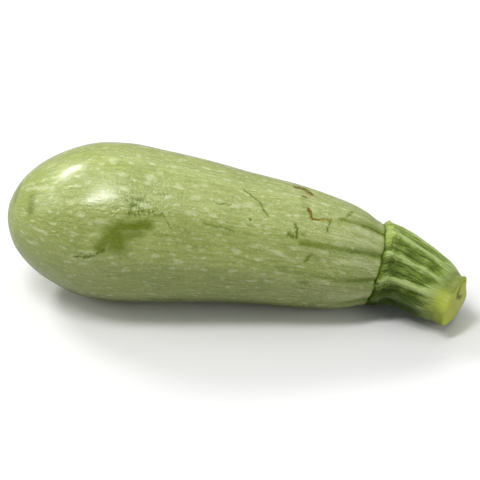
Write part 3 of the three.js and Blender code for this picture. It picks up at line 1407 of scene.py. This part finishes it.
@dataclass(frozen=True)
class FruitFinish:
    """The waxy pale green skin of the fruit.

    Attributes:
        green: Its colour.
        deep: The colour of its darker patches.
        blossom: The colour toward the blossom end.
        bloom: The grey bloom toward the stem.
        vein: The dark green of the veins beside the stem, also laid as painted shade at the stem's seat.
        fleck: The pale flecks.
        mark_green: The dark green of scratches and cracks.
        bruised: The bright green of bruises.
        mark_brown: The brown of healed scars.
        mark_halo: The yellow around the brown.
        dry_scar: The dry tip that the flower left.
        girth_mm: The radius at which the patterns have their true size.
        roughness: How matt it is.
        wax: How much smooth wax lies over it.
        wax_roughness: How matt the wax is.
    """

    green: Colour = (0.47, 0.545, 0.17)
    deep: Colour = (0.33, 0.40, 0.10)
    blossom: Colour = (0.385, 0.475, 0.07)
    bloom: Colour = (0.475, 0.54, 0.225)
    vein: Colour = (0.16, 0.268, 0.012)
    fleck: Colour = (0.66, 0.72, 0.37)
    mark_green: Colour = (0.11, 0.172, 0.001)
    bruised: Colour = (0.155, 0.222, 0.001)
    mark_brown: Colour = (0.15, 0.108, 0.001)
    mark_halo: Colour = (0.35, 0.31, 0.02)
    dry_scar: Colour = (0.27, 0.235, 0.10)
    girth_mm: float = 25.0
    roughness: float = 0.18
    wax: float = 0.55
    wax_roughness: float = 0.18

    RELIEF: ClassVar[float] = 0.00031
    GRAIN: ClassVar[dict[str, float]] = {"Patch": 14.0, "Grain": 0.8, "Streak": 0.9, "Stretch": 7.0}
    FLECKS: ClassVar[tuple[FleckRows, ...]] = (
        FleckRows(28.0, 8.0, 2.3, 1.05, 0.55, 3.0, 0.95),
        FleckRows(44.0, 5.0, 1.5, 0.76, 0.6, 11.0, 0.85),
        FleckRows(70.0, 3.2, 0.95, 0.42, 0.65, 23.0, 0.6),
    )
    # These run over the travel in millimetres, and the painted shade at the stem's seat over the travel past
    # the seat.
    BLOSSOM_END: ClassVar[Ramp] = Ramp(2.0, 44.0, 1.0, 0.0)
    STEM_END: ClassVar[Ramp] = Ramp(100.0, 140.0)
    SEAM: ClassVar[Ramp] = Ramp(-1.3, -0.3)
    # These run over masks or over the skin's unevenness.
    SHADE: ClassVar[Ramp] = Ramp(-0.65, 0.75)
    FINE_LINES: ClassVar[Ramp] = Ramp(-0.85, -0.25, 0.55, 0.0)
    VEINS: ClassVar[Ramp] = Ramp(0.15, 0.9, 0.0, 0.7)
    SEAM_SHOWS: ClassVar[Ramp] = Ramp(-0.5, 0.4, 0.1, 0.75)
    FLECKS_SHOW: ClassVar[Ramp] = Ramp(-0.7, 0.4, 0.35, 0.75)
    PALE_SHOWS: ClassVar[Ramp] = Ramp(-0.5, 0.3, 0.4, 0.9)
    BRUISE_SHOWS: ClassVar[Ramp] = Ramp(-0.6, 0.4, 1.0, 0.85)
    CRACKS: ClassVar[Ramp] = Ramp(0.42, 0.6, 0.0, 0.78)
    GREEN_STAIN: ClassVar[Ramp] = Ramp(0.0, 0.5, 0.0, 0.4)
    GREEN_CORE: ClassVar[Ramp] = Ramp(0.25, 0.9)
    BROWN_HALO: ClassVar[Ramp] = Ramp(0.02, 0.4, 0.0, 0.75)
    BROWN_CORE: ClassVar[Ramp] = Ramp(0.35, 0.9)
    DRY_TIP: ClassVar[Ramp] = Ramp(0.3, 0.85)
    GAPS: ClassVar[Ramp] = Ramp(0.3, 0.5, 0.35, 1.0)
    # How far the rows of flecks sway, in degrees of turn, and each fleck strays, in either measure.
    SWAY: ClassVar[float] = 9.0
    SWAYS_A_MM: ClassVar[float] = 0.07
    BEND: ClassVar[float] = 1.3
    # How far the lines of the marks stray, in millimetres of travel and degrees of turn.
    STRAY: ClassVar[tuple[float, float]] = (0.8, 2.0)
    # Strays of flecks and marks a millimetre, and a shift that makes the turn's stray unlike the travel's.
    STRAYS_A_MM: ClassVar[float] = 0.55
    STRAY_SHIFT_MM: ClassVar[tuple[float, float, float]] = (40.0, 0.0, 0.0)
    UNBROKEN: ClassVar[tuple[Tint, ...]] = (Tint.BRUISE, Tint.CRACKED)
    GAPS_A_MM: ClassVar[float] = 1.1
    CRAZES_A_MM: ClassVar[float] = 1.5
    CRAZE_STRETCH: ClassVar[tuple[float, float, float]] = (1.0, 0.45, 0.45)
    LUMPS_A_MM: ClassVar[float] = 0.6
    LUMP_STRETCH: ClassVar[tuple[float, float, float]] = (0.6, 1.0, 1.0)

    def make(self, effects: Effects, profile: Profile) -> bpy.types.Material:
        """Builds the material.

        Args:
            effects: The shared groups.
            profile: The fruit's profile, which gives the girth at each mark.

        Returns:
            The material.
        """
        ground = Ground.start("courgette_skin", effects, self.girth_mm, self.GRAIN)
        board, uneven = ground.board, ground.uneven
        near_stem = board.ramp(ground.travel + uneven.mix(patches=12.0, streaks=8.0), self.STEM_END)
        flecks = self._flecks(ground, effects)
        colour = self._body(ground, near_stem)
        shown = flecks * board.ramp(uneven.mix(grains=1.0, streaks=1.0), self.FLECKS_SHOW)
        colour = board.paint(shown, colour, self.fleck)
        # Painted shade: the fruit's edge at the stem's seat is drawn in the dark vein green.
        seam_shade = board.ramp(ground.travel + uneven.mix(grains=0.6) - profile.travel_mm(1), self.SEAM)
        seam_shade = seam_shade * board.ramp(uneven.mix(patches=1.0, grains=1.0), self.SEAM_SHOWS)
        colour = board.paint(seam_shade, colour, self.vein)
        colour = self._marked(ground, colour, self._marks(ground, effects, profile))
        dry = board.attribute(CREASE_ATTRIBUTE) + uneven.mix(patches=0.1, grains=0.3)
        dry = board.ramp(dry, self.DRY_TIP)
        colour = board.paint(dry * 0.8, colour, self.dry_scar)
        drawn = board.vector("MULTIPLY", ground.around, self.LUMP_STRETCH)
        lumps = board.noise(drawn, self.LUMPS_A_MM, 3.0, 0.65)
        height = lumps * 1.3 + uneven.mix(grains=0.35, streaks=0.3)
        rough = near_stem * 0.12 + flecks * 0.05 + uneven.mix(grains=0.08) + dry * 0.4 + self.roughness
        ground.shader.inputs["Coat Roughness"].default_value = self.wax_roughness
        wax = (near_stem * -self.wax + self.wax) * (1.0 - dry)
        board.feed(ground.shader.inputs["Coat Weight"], wax)
        return ground.close(colour, rough, height, self.RELIEF)

    def _body(self, ground: Ground, near_stem: Wire) -> Wire:
        """The green under the flecks and marks, with its fine lines and the veins beside the stem.

        Args:
            ground: The started material.
            near_stem: How near the stem is, 0 to 1.

        Returns:
            The colour.
        """
        board, uneven = ground.board, ground.uneven
        near_blossom = board.ramp(ground.travel + uneven.mix(patches=14.0, streaks=8.0), self.BLOSSOM_END)
        base = board.paint(near_blossom, self.green, self.blossom)
        base = board.paint(near_stem, base, self.bloom)
        swing = uneven.mix(patches=0.5, grains=1.1, streaks=1.2) * (near_stem * 0.4 + 1.0)
        colour = board.paint(board.ramp(swing, self.SHADE), self.deep, base)
        lines = board.ramp(uneven.mix(grains=0.6, streaks=1.0), self.FINE_LINES)
        colour = board.paint(lines, colour, self.vein)
        veins = board.attribute(CREST_ATTRIBUTE) + uneven.mix(grains=0.1, streaks=0.3)
        return board.paint(board.ramp(veins, self.VEINS), colour, self.vein)

    def _marked(self, ground: Ground, colour: Wire, masks: dict[Tint, Wire]) -> Wire:
        """The colour with the marks on it.

        Args:
            ground: The started material.
            colour: The colour under the marks.
            masks: One mask for each tint.

        Returns:
            The colour.
        """
        board, uneven = ground.board, ground.uneven
        pale = masks[Tint.PALE] * board.ramp(uneven.streaks, self.PALE_SHOWS)
        bruise = masks[Tint.BRUISE] * board.ramp(uneven.mix(grains=1.0, streaks=1.0), self.BRUISE_SHOWS)
        drawn = board.vector("MULTIPLY", ground.around, self.CRAZE_STRETCH)
        crazed = board.noise(drawn, self.CRAZES_A_MM, 1.0)
        cracked = masks[Tint.CRACKED] * board.ramp(crazed, self.CRACKS)
        for mask, tint in (
            (pale, self.fleck),
            (bruise, self.bruised),
            (cracked, self.mark_green),
            (board.ramp(masks[Tint.GREEN], self.GREEN_STAIN), self.bruised),
            (board.ramp(masks[Tint.GREEN], self.GREEN_CORE), self.mark_green),
            (board.ramp(masks[Tint.BROWN], self.BROWN_HALO), self.mark_halo),
            (board.ramp(masks[Tint.BROWN] + uneven.mix(grains=0.3), self.BROWN_CORE), self.mark_brown),
        ):
            colour = board.paint(mask, colour, tint)
        return colour

    def _flecks(self, ground: Ground, effects: Effects) -> Wire:
        """The mask of the pale flecks.

        Args:
            ground: The started material.
            effects: The shared groups.

        Returns:
            The mask.
        """
        board = ground.board
        sway = board.swing(ground.around, self.SWAYS_A_MM, 1.0) * self.SWAY
        bend = board.swing(ground.around, self.STRAYS_A_MM, 2.0, 0.6) * self.BEND
        total = 0.0
        for size in self.FLECKS:
            inputs = {
                "Travel": ground.travel + bend,
                "Turn": ground.turn + sway + bend,
                "Girth": self.girth_mm,
                "Rows": size.rows,
                "Spacing": size.spacing_mm,
                "Half Length": size.half_length_mm,
                "Half Width": size.half_width_mm,
                "Share": size.share,
                "Seed": size.seed,
            }
            total = board.out(board.group(effects.flecks, inputs), "Mask") * size.weight + total
        return board.math("MINIMUM", total, 1.0)

    def _marks(self, ground: Ground, effects: Effects, profile: Profile) -> dict[Tint, Wire]:
        """The masks of the marks.

        Args:
            ground: The started material.
            effects: The shared groups.
            profile: The fruit's profile.

        Returns:
            One mask for each tint.
        """
        board = ground.board
        shifted = board.vector("ADD", ground.around, self.STRAY_SHIFT_MM)
        along, aside = (
            board.swing(place, self.STRAYS_A_MM) * stray
            for place, stray in zip((ground.around, shifted), self.STRAY)
        )
        wavy = board.vector("ADD", ground.flat, board.xyz(along, aside, 0.0))
        broken = board.ramp(board.noise(ground.around, self.GAPS_A_MM), self.GAPS)
        masks = {tint: board.math("MULTIPLY", broken, 0.0) for tint in Tint}
        for mark in MARKS:
            for start, end in zip(mark.path, mark.path[1:]):
                inputs = {
                    "Place": wavy,
                    "From": (*start, 0.0),
                    "To": (*end, 0.0),
                    "Girth": profile.girth_mm((start[0] + end[0]) / 2),
                    "Half Width": mark.half_width_mm,
                    "Softness": mark.softness,
                }
                laid = board.out(board.group(effects.stroke, inputs), "Mask") * mark.strength
                laid = laid if mark.tint in self.UNBROKEN else laid * broken
                masks[mark.tint] = board.math("MAXIMUM", masks[mark.tint], laid)
        return masks


@dataclass(frozen=True)
class OnStem:
    """Where a point of the stem is.

    Attributes:
        from_foot: The travel past the foot's edge, in millimetres.
        from_rim: The travel past the cut's rim, in millimetres.
        from_top: The turn away from the top, to either side, in degrees.
        crest: How high on a rib it is, 0 to 1.
    """

    from_foot: Wire
    from_rim: Wire
    from_top: Wire
    crest: Wire


@dataclass(frozen=True)
class StemFinish:
    """The ribbed green stem, pale on its ribs and dark between them.

    Attributes:
        rib: The colour of the ribs.
        glint_highlight: Painted highlights, pale glints along the ribs' fibres.
        flank: The colour of their flanks.
        groove: The colour between them.
        under: Painted shade, the dark ribs of the underside.
        seam_shade: Painted shade, the dark ragged edge where it meets the fruit.
        foot: The whitish warts on the foot.
        crown: The yellow-green top of the foot.
        collar: The smooth yellow-green collar at the cut.
        olive_and_underside_shade: The collar's duller olive top, also laid as painted shade on its underside.
        flesh: The yellow-green flesh around the cut.
        cut: The paler middle of the cut, also laid on its far lip as painted light.
        crease: Painted shade in the crease of the cut.
        girth_mm: The radius at which the patterns have their true size.
        roughness: How matt it is.
        gloss: How strongly it shines.
    """

    rib: Colour = (0.435, 0.555, 0.185)
    glint_highlight: Colour = (0.56, 0.68, 0.27)
    flank: Colour = (0.175, 0.258, 0.027)
    groove: Colour = (0.06, 0.105, 0.005)
    under: Colour = (0.088, 0.135, 0.033)
    seam_shade: Colour = (0.095, 0.165, 0.008)
    foot: Colour = (0.47, 0.57, 0.18)
    crown: Colour = (0.50, 0.62, 0.13)
    collar: Colour = (0.53, 0.61, 0.085)
    olive_and_underside_shade: Colour = (0.20, 0.25, 0.04)
    flesh: Colour = (0.62, 0.70, 0.10)
    cut: Colour = (0.73, 0.755, 0.23)
    crease: Colour = (0.175, 0.205, 0.001)
    girth_mm: float = 13.0
    roughness: float = 0.45
    gloss: float = 0.3

    RELIEF: ClassVar[float] = 0.00035
    GRAIN: ClassVar[dict[str, float]] = {"Patch": 5.0, "Grain": 0.6, "Streak": 0.62, "Stretch": 7.5}
    # The turn of the rib that the light catches most, in degrees, where painted light goes on the rib.
    SUNNY_TURN: ClassVar[float] = -14.0
    # How far the low rib turns on its way along the stem, in degrees a millimetre.
    RIB_DRIFT: ClassVar[float] = 0.75
    KNOBS_A_MM: ClassVar[float] = 2.2
    # Share of the fine relief that the smooth collar loses.
    COLLAR_SMOOTHS: ClassVar[float] = 0.56
    # These run over turns in degrees.
    SUNNY: ClassVar[Ramp] = Ramp(8.0, 28.0, 0.26, 0.0)
    LOW_RIB_FROM: ClassVar[Ramp] = Ramp(77.0, 84.0, 0.0, 0.36)
    LOW_RIB_TO: ClassVar[Ramp] = Ramp(91.0, 98.0, 1.0, 0.0)
    CROWN_SIDE: ClassVar[Ramp] = Ramp(14.0, 34.0, 1.0, 0.0)
    BENEATH: ClassVar[Ramp] = Ramp(89.0, 97.0, 0.0, 0.95)
    COLLAR_SIDE: ClassVar[Ramp] = Ramp(30.0, 72.0)
    COLLAR_BELOW: ClassVar[Ramp] = Ramp(84.0, 112.0, 0.0, 0.65)
    LIP_FROM: ClassVar[Ramp] = Ramp(-150.0, -110.0)
    LIP_TO: ClassVar[Ramp] = Ramp(-30.0, 5.0, 0.9, 0.0)
    SEAM_SIDE: ClassVar[Ramp] = Ramp(15.0, 35.0, 0.45, 1.0)
    # These run over the travel past the foot's edge, in millimetres.
    SEAM: ClassVar[Ramp] = Ramp(-0.2, 2.4, 1.0, 0.0)
    WARTY: ClassVar[Ramp] = Ramp(1.5, 7.0, 1.0, 0.0)
    SHADED_TO: ClassVar[Ramp] = Ramp(22.0, 31.0, 1.0, 0.0)
    # These run over the travel past the cut's rim, in millimetres.
    NEAR_RIM: ClassVar[Ramp] = Ramp(-7.8, -1.8)
    ON_CUT: ClassVar[Ramp] = Ramp(-1.7, -0.2)
    INSIDE_CUT: ClassVar[Ramp] = Ramp(0.3, 3.5, 0.0, 0.6)
    # These run over the pale ribs with their painted light, or over the skin's unevenness.
    FLANKS: ClassVar[Ramp] = Ramp(0.0, 0.55)
    RIBS: ClassVar[Ramp] = Ramp(0.45, 1.1)
    UNDER_RIBS: ClassVar[Ramp] = Ramp(0.2, 1.1)
    WARTS: ClassVar[Ramp] = Ramp(0.6, 1.1, 0.0, 0.6)
    GLINTS: ClassVar[Ramp] = Ramp(0.36, 0.62, 0.0, 0.5)
    CROWN_SHOWS: ClassVar[Ramp] = Ramp(-0.4, 0.1, 0.25, 0.8)
    COLLAR_SHOWS: ClassVar[Ramp] = Ramp(-0.6, 0.3, 0.72, 1.0)
    CUT_SHOWS: ClassVar[Ramp] = Ramp(-0.5, 0.3, 0.6, 1.0)
    CREASE_SHOWS: ClassVar[Ramp] = Ramp(0.15, 0.95, 0.0, 0.8)
    SEAM_SHOWS: ClassVar[Ramp] = Ramp(-0.5, 0.4, 0.35, 0.9)

    def make(self, effects: Effects, profile: Profile) -> bpy.types.Material:
        """Builds the material.

        Args:
            effects: The shared groups.
            profile: The stem's profile, which gives where its foot and its cut are.

        Returns:
            The material.
        """
        ground = Ground.start("courgette_stem", effects, self.girth_mm, self.GRAIN)
        board, uneven = ground.board, ground.uneven
        foot, rim = (ground.travel - profile.travel_mm(run) for run in (1, 2))
        on_stem = OnStem(foot, rim, board.math("ABSOLUTE", ground.turn), board.attribute(CREST_ATTRIBUTE))
        colour = self._ribbed(ground, on_stem)
        near_rim = rim + uneven.mix(patches=3.0, streaks=3.0) + on_stem.crest * 2.0
        near_rim = board.ramp(near_rim, self.NEAR_RIM)
        collar = near_rim * board.ramp(uneven.mix(patches=1.0, streaks=1.0), self.COLLAR_SHOWS)
        colour = board.paint(collar, colour, self._collar(ground, on_stem))
        on_cut = board.ramp(rim, self.ON_CUT)
        colour = self._cut_face(ground, on_stem, colour, on_cut)
        # Painted shade: the ragged edge where the stem meets the fruit is drawn dark, less so on top.
        seam_shade = board.ramp(foot + uneven.mix(patches=1.2, grains=1.8), self.SEAM)
        seam_shade = seam_shade * board.ramp(on_stem.from_top, self.SEAM_SIDE)
        seam_shade = seam_shade * board.ramp(uneven.mix(patches=1.0, grains=1.0), self.SEAM_SHOWS)
        colour = board.paint(seam_shade, colour, self.seam_shade)
        height = board.noise(ground.around, self.KNOBS_A_MM, 2.0, 0.6) * 0.4
        height = height + uneven.mix(grains=0.35, streaks=0.8)
        smoother = near_rim * -self.COLLAR_SMOOTHS + 1.0
        rough = uneven.mix(grains=0.06) + near_rim * -0.08 + on_cut * 0.3 + self.roughness
        ground.shader.inputs["Specular IOR Level"].default_value = self.gloss
        return ground.close(colour, rough, height * smoother, self.RELIEF)

    def _ribbed(self, ground: Ground, on_stem: OnStem) -> Wire:
        """The colour of the ribs and the foot, with painted light on the upper rib, painted highlights along
        the fibres and painted shade on the underside.

        Args:
            ground: The started material.
            on_stem: Where the point is.

        Returns:
            The colour.
        """
        board, uneven = ground.board, ground.uneven
        from_sunny = board.math("ABSOLUTE", ground.turn - self.SUNNY_TURN)
        # Painted light: the rib that faces the lamps is drawn paler.
        painted_rib_light = board.ramp(from_sunny + uneven.mix(streaks=6.0), self.SUNNY)
        drift = on_stem.from_top + on_stem.from_foot * self.RIB_DRIFT
        low_rib = board.ramp(drift, self.LOW_RIB_FROM)
        low_rib = low_rib * board.ramp(drift + uneven.mix(streaks=6.0), self.LOW_RIB_TO)
        # The pale ribs' own pattern, with painted light added on the upper rib.
        rib_and_light = on_stem.crest + uneven.mix(patches=0.35, grains=0.35, streaks=0.95) + painted_rib_light + low_rib
        # Painted highlights: thin pale glints along the ribs' fibres.
        glint = board.ramp(uneven.mix(grains=0.3, streaks=1.0) + on_stem.crest * 0.15, self.GLINTS)
        ragged = uneven.mix(patches=3.0, grains=2.0, streaks=3.0)
        warty = board.ramp(on_stem.from_foot + ragged, self.WARTY)
        crown = board.ramp(on_stem.from_top + uneven.mix(patches=20.0), self.CROWN_SIDE) * warty
        crown = crown * board.ramp(uneven.mix(grains=1.0, streaks=0.5), self.CROWN_SHOWS)
        warts = warty * board.ramp(rib_and_light + uneven.mix(grains=0.7), self.WARTS)
        # Painted shade: the underside near the foot is drawn in dark shaded ribs.
        underside_shade = board.ramp(on_stem.from_top + uneven.mix(streaks=4.0), self.BENEATH)
        underside_shade = underside_shade * board.ramp(on_stem.from_foot + uneven.mix(streaks=3.0), self.SHADED_TO)
        shaded = board.paint(board.ramp(rib_and_light, self.UNDER_RIBS), self.groove, self.under)
        colour = board.paint(board.ramp(rib_and_light, self.FLANKS), self.groove, self.flank)
        for mask, tint in (
            (board.ramp(rib_and_light, self.RIBS), self.rib),
            (glint, self.glint_highlight),
            (crown, self.crown),
            (warts, self.foot),
            (underside_shade, shaded),
        ):
            colour = board.paint(mask, colour, tint)
        return colour

    def _collar(self, ground: Ground, on_stem: OnStem) -> Wire:
        """The colour of the smooth collar at the cut: olive on top, and painted shade on its underside.

        Args:
            ground: The started material.
            on_stem: Where the point is.

        Returns:
            The colour.
        """
        board = ground.board
        side = on_stem.from_top + ground.uneven.mix(patches=25.0)
        colour = board.paint(board.ramp(side, self.COLLAR_SIDE), self.olive_and_underside_shade, self.collar)
        # Painted shade: the olive is laid again on the collar's underside.
        return board.paint(board.ramp(side, self.COLLAR_BELOW), colour, self.olive_and_underside_shade)

    def _cut_face(self, ground: Ground, on_stem: OnStem, colour: Wire, on_cut: Wire) -> Wire:
        """The colour with the flesh of the cut face on it, painted light on its far lip and painted shade in
        its crease.

        Args:
            ground: The started material.
            on_stem: Where the point is.
            colour: The colour beside the cut.
            on_cut: How far on the cut face the point is, 0 to 1.

        Returns:
            The colour.
        """
        board, uneven = ground.board, ground.uneven
        inside = board.ramp(on_stem.from_rim + uneven.mix(grains=0.6), self.INSIDE_CUT)
        # Painted light: the far lip of the cut face is drawn pale.
        lit_far_lip = board.ramp(ground.turn + uneven.mix(patches=15.0), self.LIP_TO)
        lit_far_lip = lit_far_lip * board.ramp(ground.turn, self.LIP_FROM)
        pale = board.math("MAXIMUM", inside, on_cut * lit_far_lip)
        pale = pale * board.ramp(uneven.mix(patches=0.6, grains=1.0), self.CUT_SHOWS)
        # Painted shade: the crease in the cut face is drawn dark.
        crease = board.attribute(CREASE_ATTRIBUTE) + uneven.mix(patches=0.2, grains=0.2)
        crease = board.ramp(crease, self.CREASE_SHOWS)
        for mask, tint in ((on_cut, self.flesh), (pale, self.cut), (crease, self.crease)):
            colour = board.paint(mask, colour, tint)
        return colour


# ---------------------------------------------------------------- the studio


@dataclass(frozen=True)
class Softbox:
    """A square studio light that faces the object.

    Attributes:
        name: Its name.
        place: Where it hangs.
        size: Its width and height.
        power: Its power in watts.
    """

    name: str
    place: tuple[float, float, float]
    size: tuple[float, float]
    power: float

    def hang(self, target: Vector) -> None:
        """Hangs the light.

        Args:
            target: The point that it faces.
        """
        data = bpy.data.lights.new(self.name, "AREA")
        data.shape = "RECTANGLE"
        data.size, data.size_y = self.size
        data.energy = self.power
        light = bpy.data.objects.new(self.name, data)
        light.location = self.place
        light.rotation_euler = (Vector(self.place) - target).to_track_quat("Z", "Y").to_euler()
        bpy.context.scene.collection.objects.link(light)


@dataclass(frozen=True)
class Studio:
    """A pale floor, soft light and the camera.

    Attributes:
        target: The point that the camera looks at.
        azimuth_deg: How far the camera is turned from -Y toward +X.
        elevation_deg: How far it is raised.
        distance: From the target.
        lens_mm: Focal length.
        sensor_mm: Width of the sensor.
        floor_size: Side of the floor.
        surround: Strength of the even light from all around.
        softboxes: The lights.
    """

    target: tuple[float, float, float] = (-0.0002, 0.0085, 0.020)
    azimuth_deg: float = 12.0
    elevation_deg: float = 38.0
    distance: float = 0.648
    lens_mm: float = 135.0
    sensor_mm: float = 36.0
    floor_size: float = 2.2
    surround: float = 0.18
    softboxes: tuple[Softbox, ...] = (
        Softbox("left_behind", (-0.69, 0.40, 0.69), (0.34, 0.14), 4.3),
        Softbox("near_overhead", (-0.26, -0.235, 0.95), (0.13, 0.42), 4.2),
        Softbox("overhead", (0.0, 0.10, 1.0), (0.9, 0.8), 1.8),
        Softbox("behind", (0.1, 1.1, 0.8), (1.2, 0.6), 2.3),
        Softbox("right", (1.0, -0.25, 0.45), (0.5, 0.5), 2.6),
        Softbox("left", (-1.1, -0.2, 0.6), (0.6, 0.6), 3.0),
    )

    # The point that the softboxes face.
    LIT_POINT: ClassVar[tuple[float, float, float]] = (0.0, 0.0, 0.02)
    # The floor's two tones to the camera, and its darker tone to all other rays.
    FLOOR_TONES: ClassVar[tuple[Colour, Colour]] = ((0.93, 0.93, 0.925), (0.96, 0.96, 0.955))
    FLOOR_BOUNCE: ClassVar[Colour] = (0.43, 0.43, 0.42)
    FLOOR_PATCHES_A_METRE: ClassVar[float] = 9.0
    FLOOR_ROUGHNESS: ClassVar[float] = 0.75
    # Strength of the white backdrop to the camera.
    BACKDROP: ClassVar[float] = 0.85

    def build(self) -> None:
        """Lays the floor, hangs the lights and sets up the camera."""
        self._floor()
        for softbox in self.softboxes:
            softbox.hang(Vector(self.LIT_POINT))
        world = bpy.data.worlds.new("surround")
        world.use_nodes = True
        board = Board(world.node_tree)
        backdrop = world.node_tree.nodes["Background"]
        backdrop.inputs["Color"].default_value = (1.0, 1.0, 1.0, 1.0)
        seen = board.out(board.node("ShaderNodeLightPath", {}), "Is Camera Ray")
        board.feed(backdrop.inputs["Strength"], seen * (self.BACKDROP - self.surround) + self.surround)
        bpy.context.scene.world = world
        bpy.context.scene.view_settings.view_transform = "Standard"
        self._camera()

    def _floor(self) -> None:
        """Lays the floor under the object."""
        half = self.floor_size / 2
        corners = [(-half, -half, 0), (half, -half, 0), (half, half, 0), (-half, half, 0)]
        mesh = bpy.data.meshes.new("floor")
        mesh.from_pydata(corners, [], [(0, 1, 2, 3)])
        floor = bpy.data.objects.new("floor", mesh)
        material, board, shader = new_material("floor_paper")
        coords = board.out(board.node("ShaderNodeTexCoord", {}), "Object")
        tone = board.noise(coords, self.FLOOR_PATCHES_A_METRE, 3.0)
        paper = board.paint(tone, *self.FLOOR_TONES)
        seen = board.out(board.node("ShaderNodeLightPath", {}), "Is Camera Ray")
        board.feed(shader.inputs["Base Color"], board.paint(seen, self.FLOOR_BOUNCE, paper))
        board.feed(shader.inputs["Roughness"], tone * 0.1 + self.FLOOR_ROUGHNESS)
        mesh.materials.append(material)
        bpy.context.scene.collection.objects.link(floor)

    def _camera(self) -> None:
        """Places the camera."""
        azimuth, elevation = math.radians(self.azimuth_deg), math.radians(self.elevation_deg)
        back = Vector(
            (
                math.sin(azimuth) * math.cos(elevation),
                -math.cos(azimuth) * math.cos(elevation),
                math.sin(elevation),
            )
        )
        data = bpy.data.cameras.new("camera")
        data.lens = self.lens_mm
        data.sensor_width = self.sensor_mm
        camera = bpy.data.objects.new("camera", data)
        camera.location = Vector(self.target) + back * self.distance
        camera.rotation_euler = back.to_track_quat("Z", "Y").to_euler()
        bpy.context.scene.collection.objects.link(camera)
        bpy.context.scene.camera = camera


# ---------------------------------------------------------------- the courgette

FRUIT_LINE_MM = ((-81.9, -5.2, 30.8), (-48.2, 0.6, 25.4), (-10.0, 2.2, 30.7), (48.3, 10.4, 15.4))
FRUIT_PROFILE = Profile(
    (
        (
            (0, 0.3),
            (0.12, 2.2),
            (0.45, 4.3),
            (1, 6.4),
            (4, 12.4),
            (9.5, 18.1),
            (18, 23.4),
            (28, 27.2),
            (40, 28.4),
            (54, 27.3),
            (70, 25.4),
            (86, 23.3),
            (102, 21.8),
            (113, 20.4),
            (121, 19.1),
            (126.5, 17.5),
            (130.5, 15.7),
            (132.3, 15.1),
            (133, 14.5),
        ),
        ((133, 14.5), (133, 0.3)),
    )
)
STEM_LINE_MM = ((48.3, 10.4, 15.7), (58.3, 11.8, 17.4), (70.8, 3.8, 11.5), (79.4, 0.8, 10.4))
STEM_PROFILE = Profile(
    (
        ((0, 0.3), (0, 14.8)),
        (
            (0, 14.8),
            (0.8, 15.4),
            (3, 15.2),
            (8, 14.1),
            (13, 12.9),
            (19, 12.2),
            (25, 11.2),
            (29, 9.7),
            (31, 9.0),
            (32.4, 8.6),
            (33.1, 8.35),
            (33.45, 8.0),
            (33.6, 7.4),
        ),
        ((33.6, 7.4), (33.6, 6.8), (33.1, 4.2), (32.8, 0.3)),
    )
)


def main() -> None:
    """Builds the fruit, the stem and the studio."""
    logging.basicConfig(level=logging.INFO, format="%(name)s: %(message)s")
    effects = Effects.make()
    fruit = Fruit(
        "fruit_skin_mesh", "fruit", "fruit_skin", FRUIT_LINE_MM, FRUIT_PROFILE, sectors=280, rings=310
    )
    fruit.dress(fruit.build(FruitFinish().make(effects, FRUIT_PROFILE)))
    seat = (Vector(FRUIT_LINE_MM[3]) - Vector(FRUIT_LINE_MM[2])).normalized()
    stem = Stem(
        "stem_skin_mesh",
        "stem",
        "stem_skin",
        STEM_LINE_MM,
        STEM_PROFILE,
        sectors=320,
        rings=190,
        twist_deg_a_mm=-0.65,
        seat=tuple(seat),
    )
    stem.dress(stem.build(StemFinish().make(effects, STEM_PROFILE)))
    Studio().build()
    LOG.info("studio: floor, lights and camera")


if __name__ == "__main__":
    main()
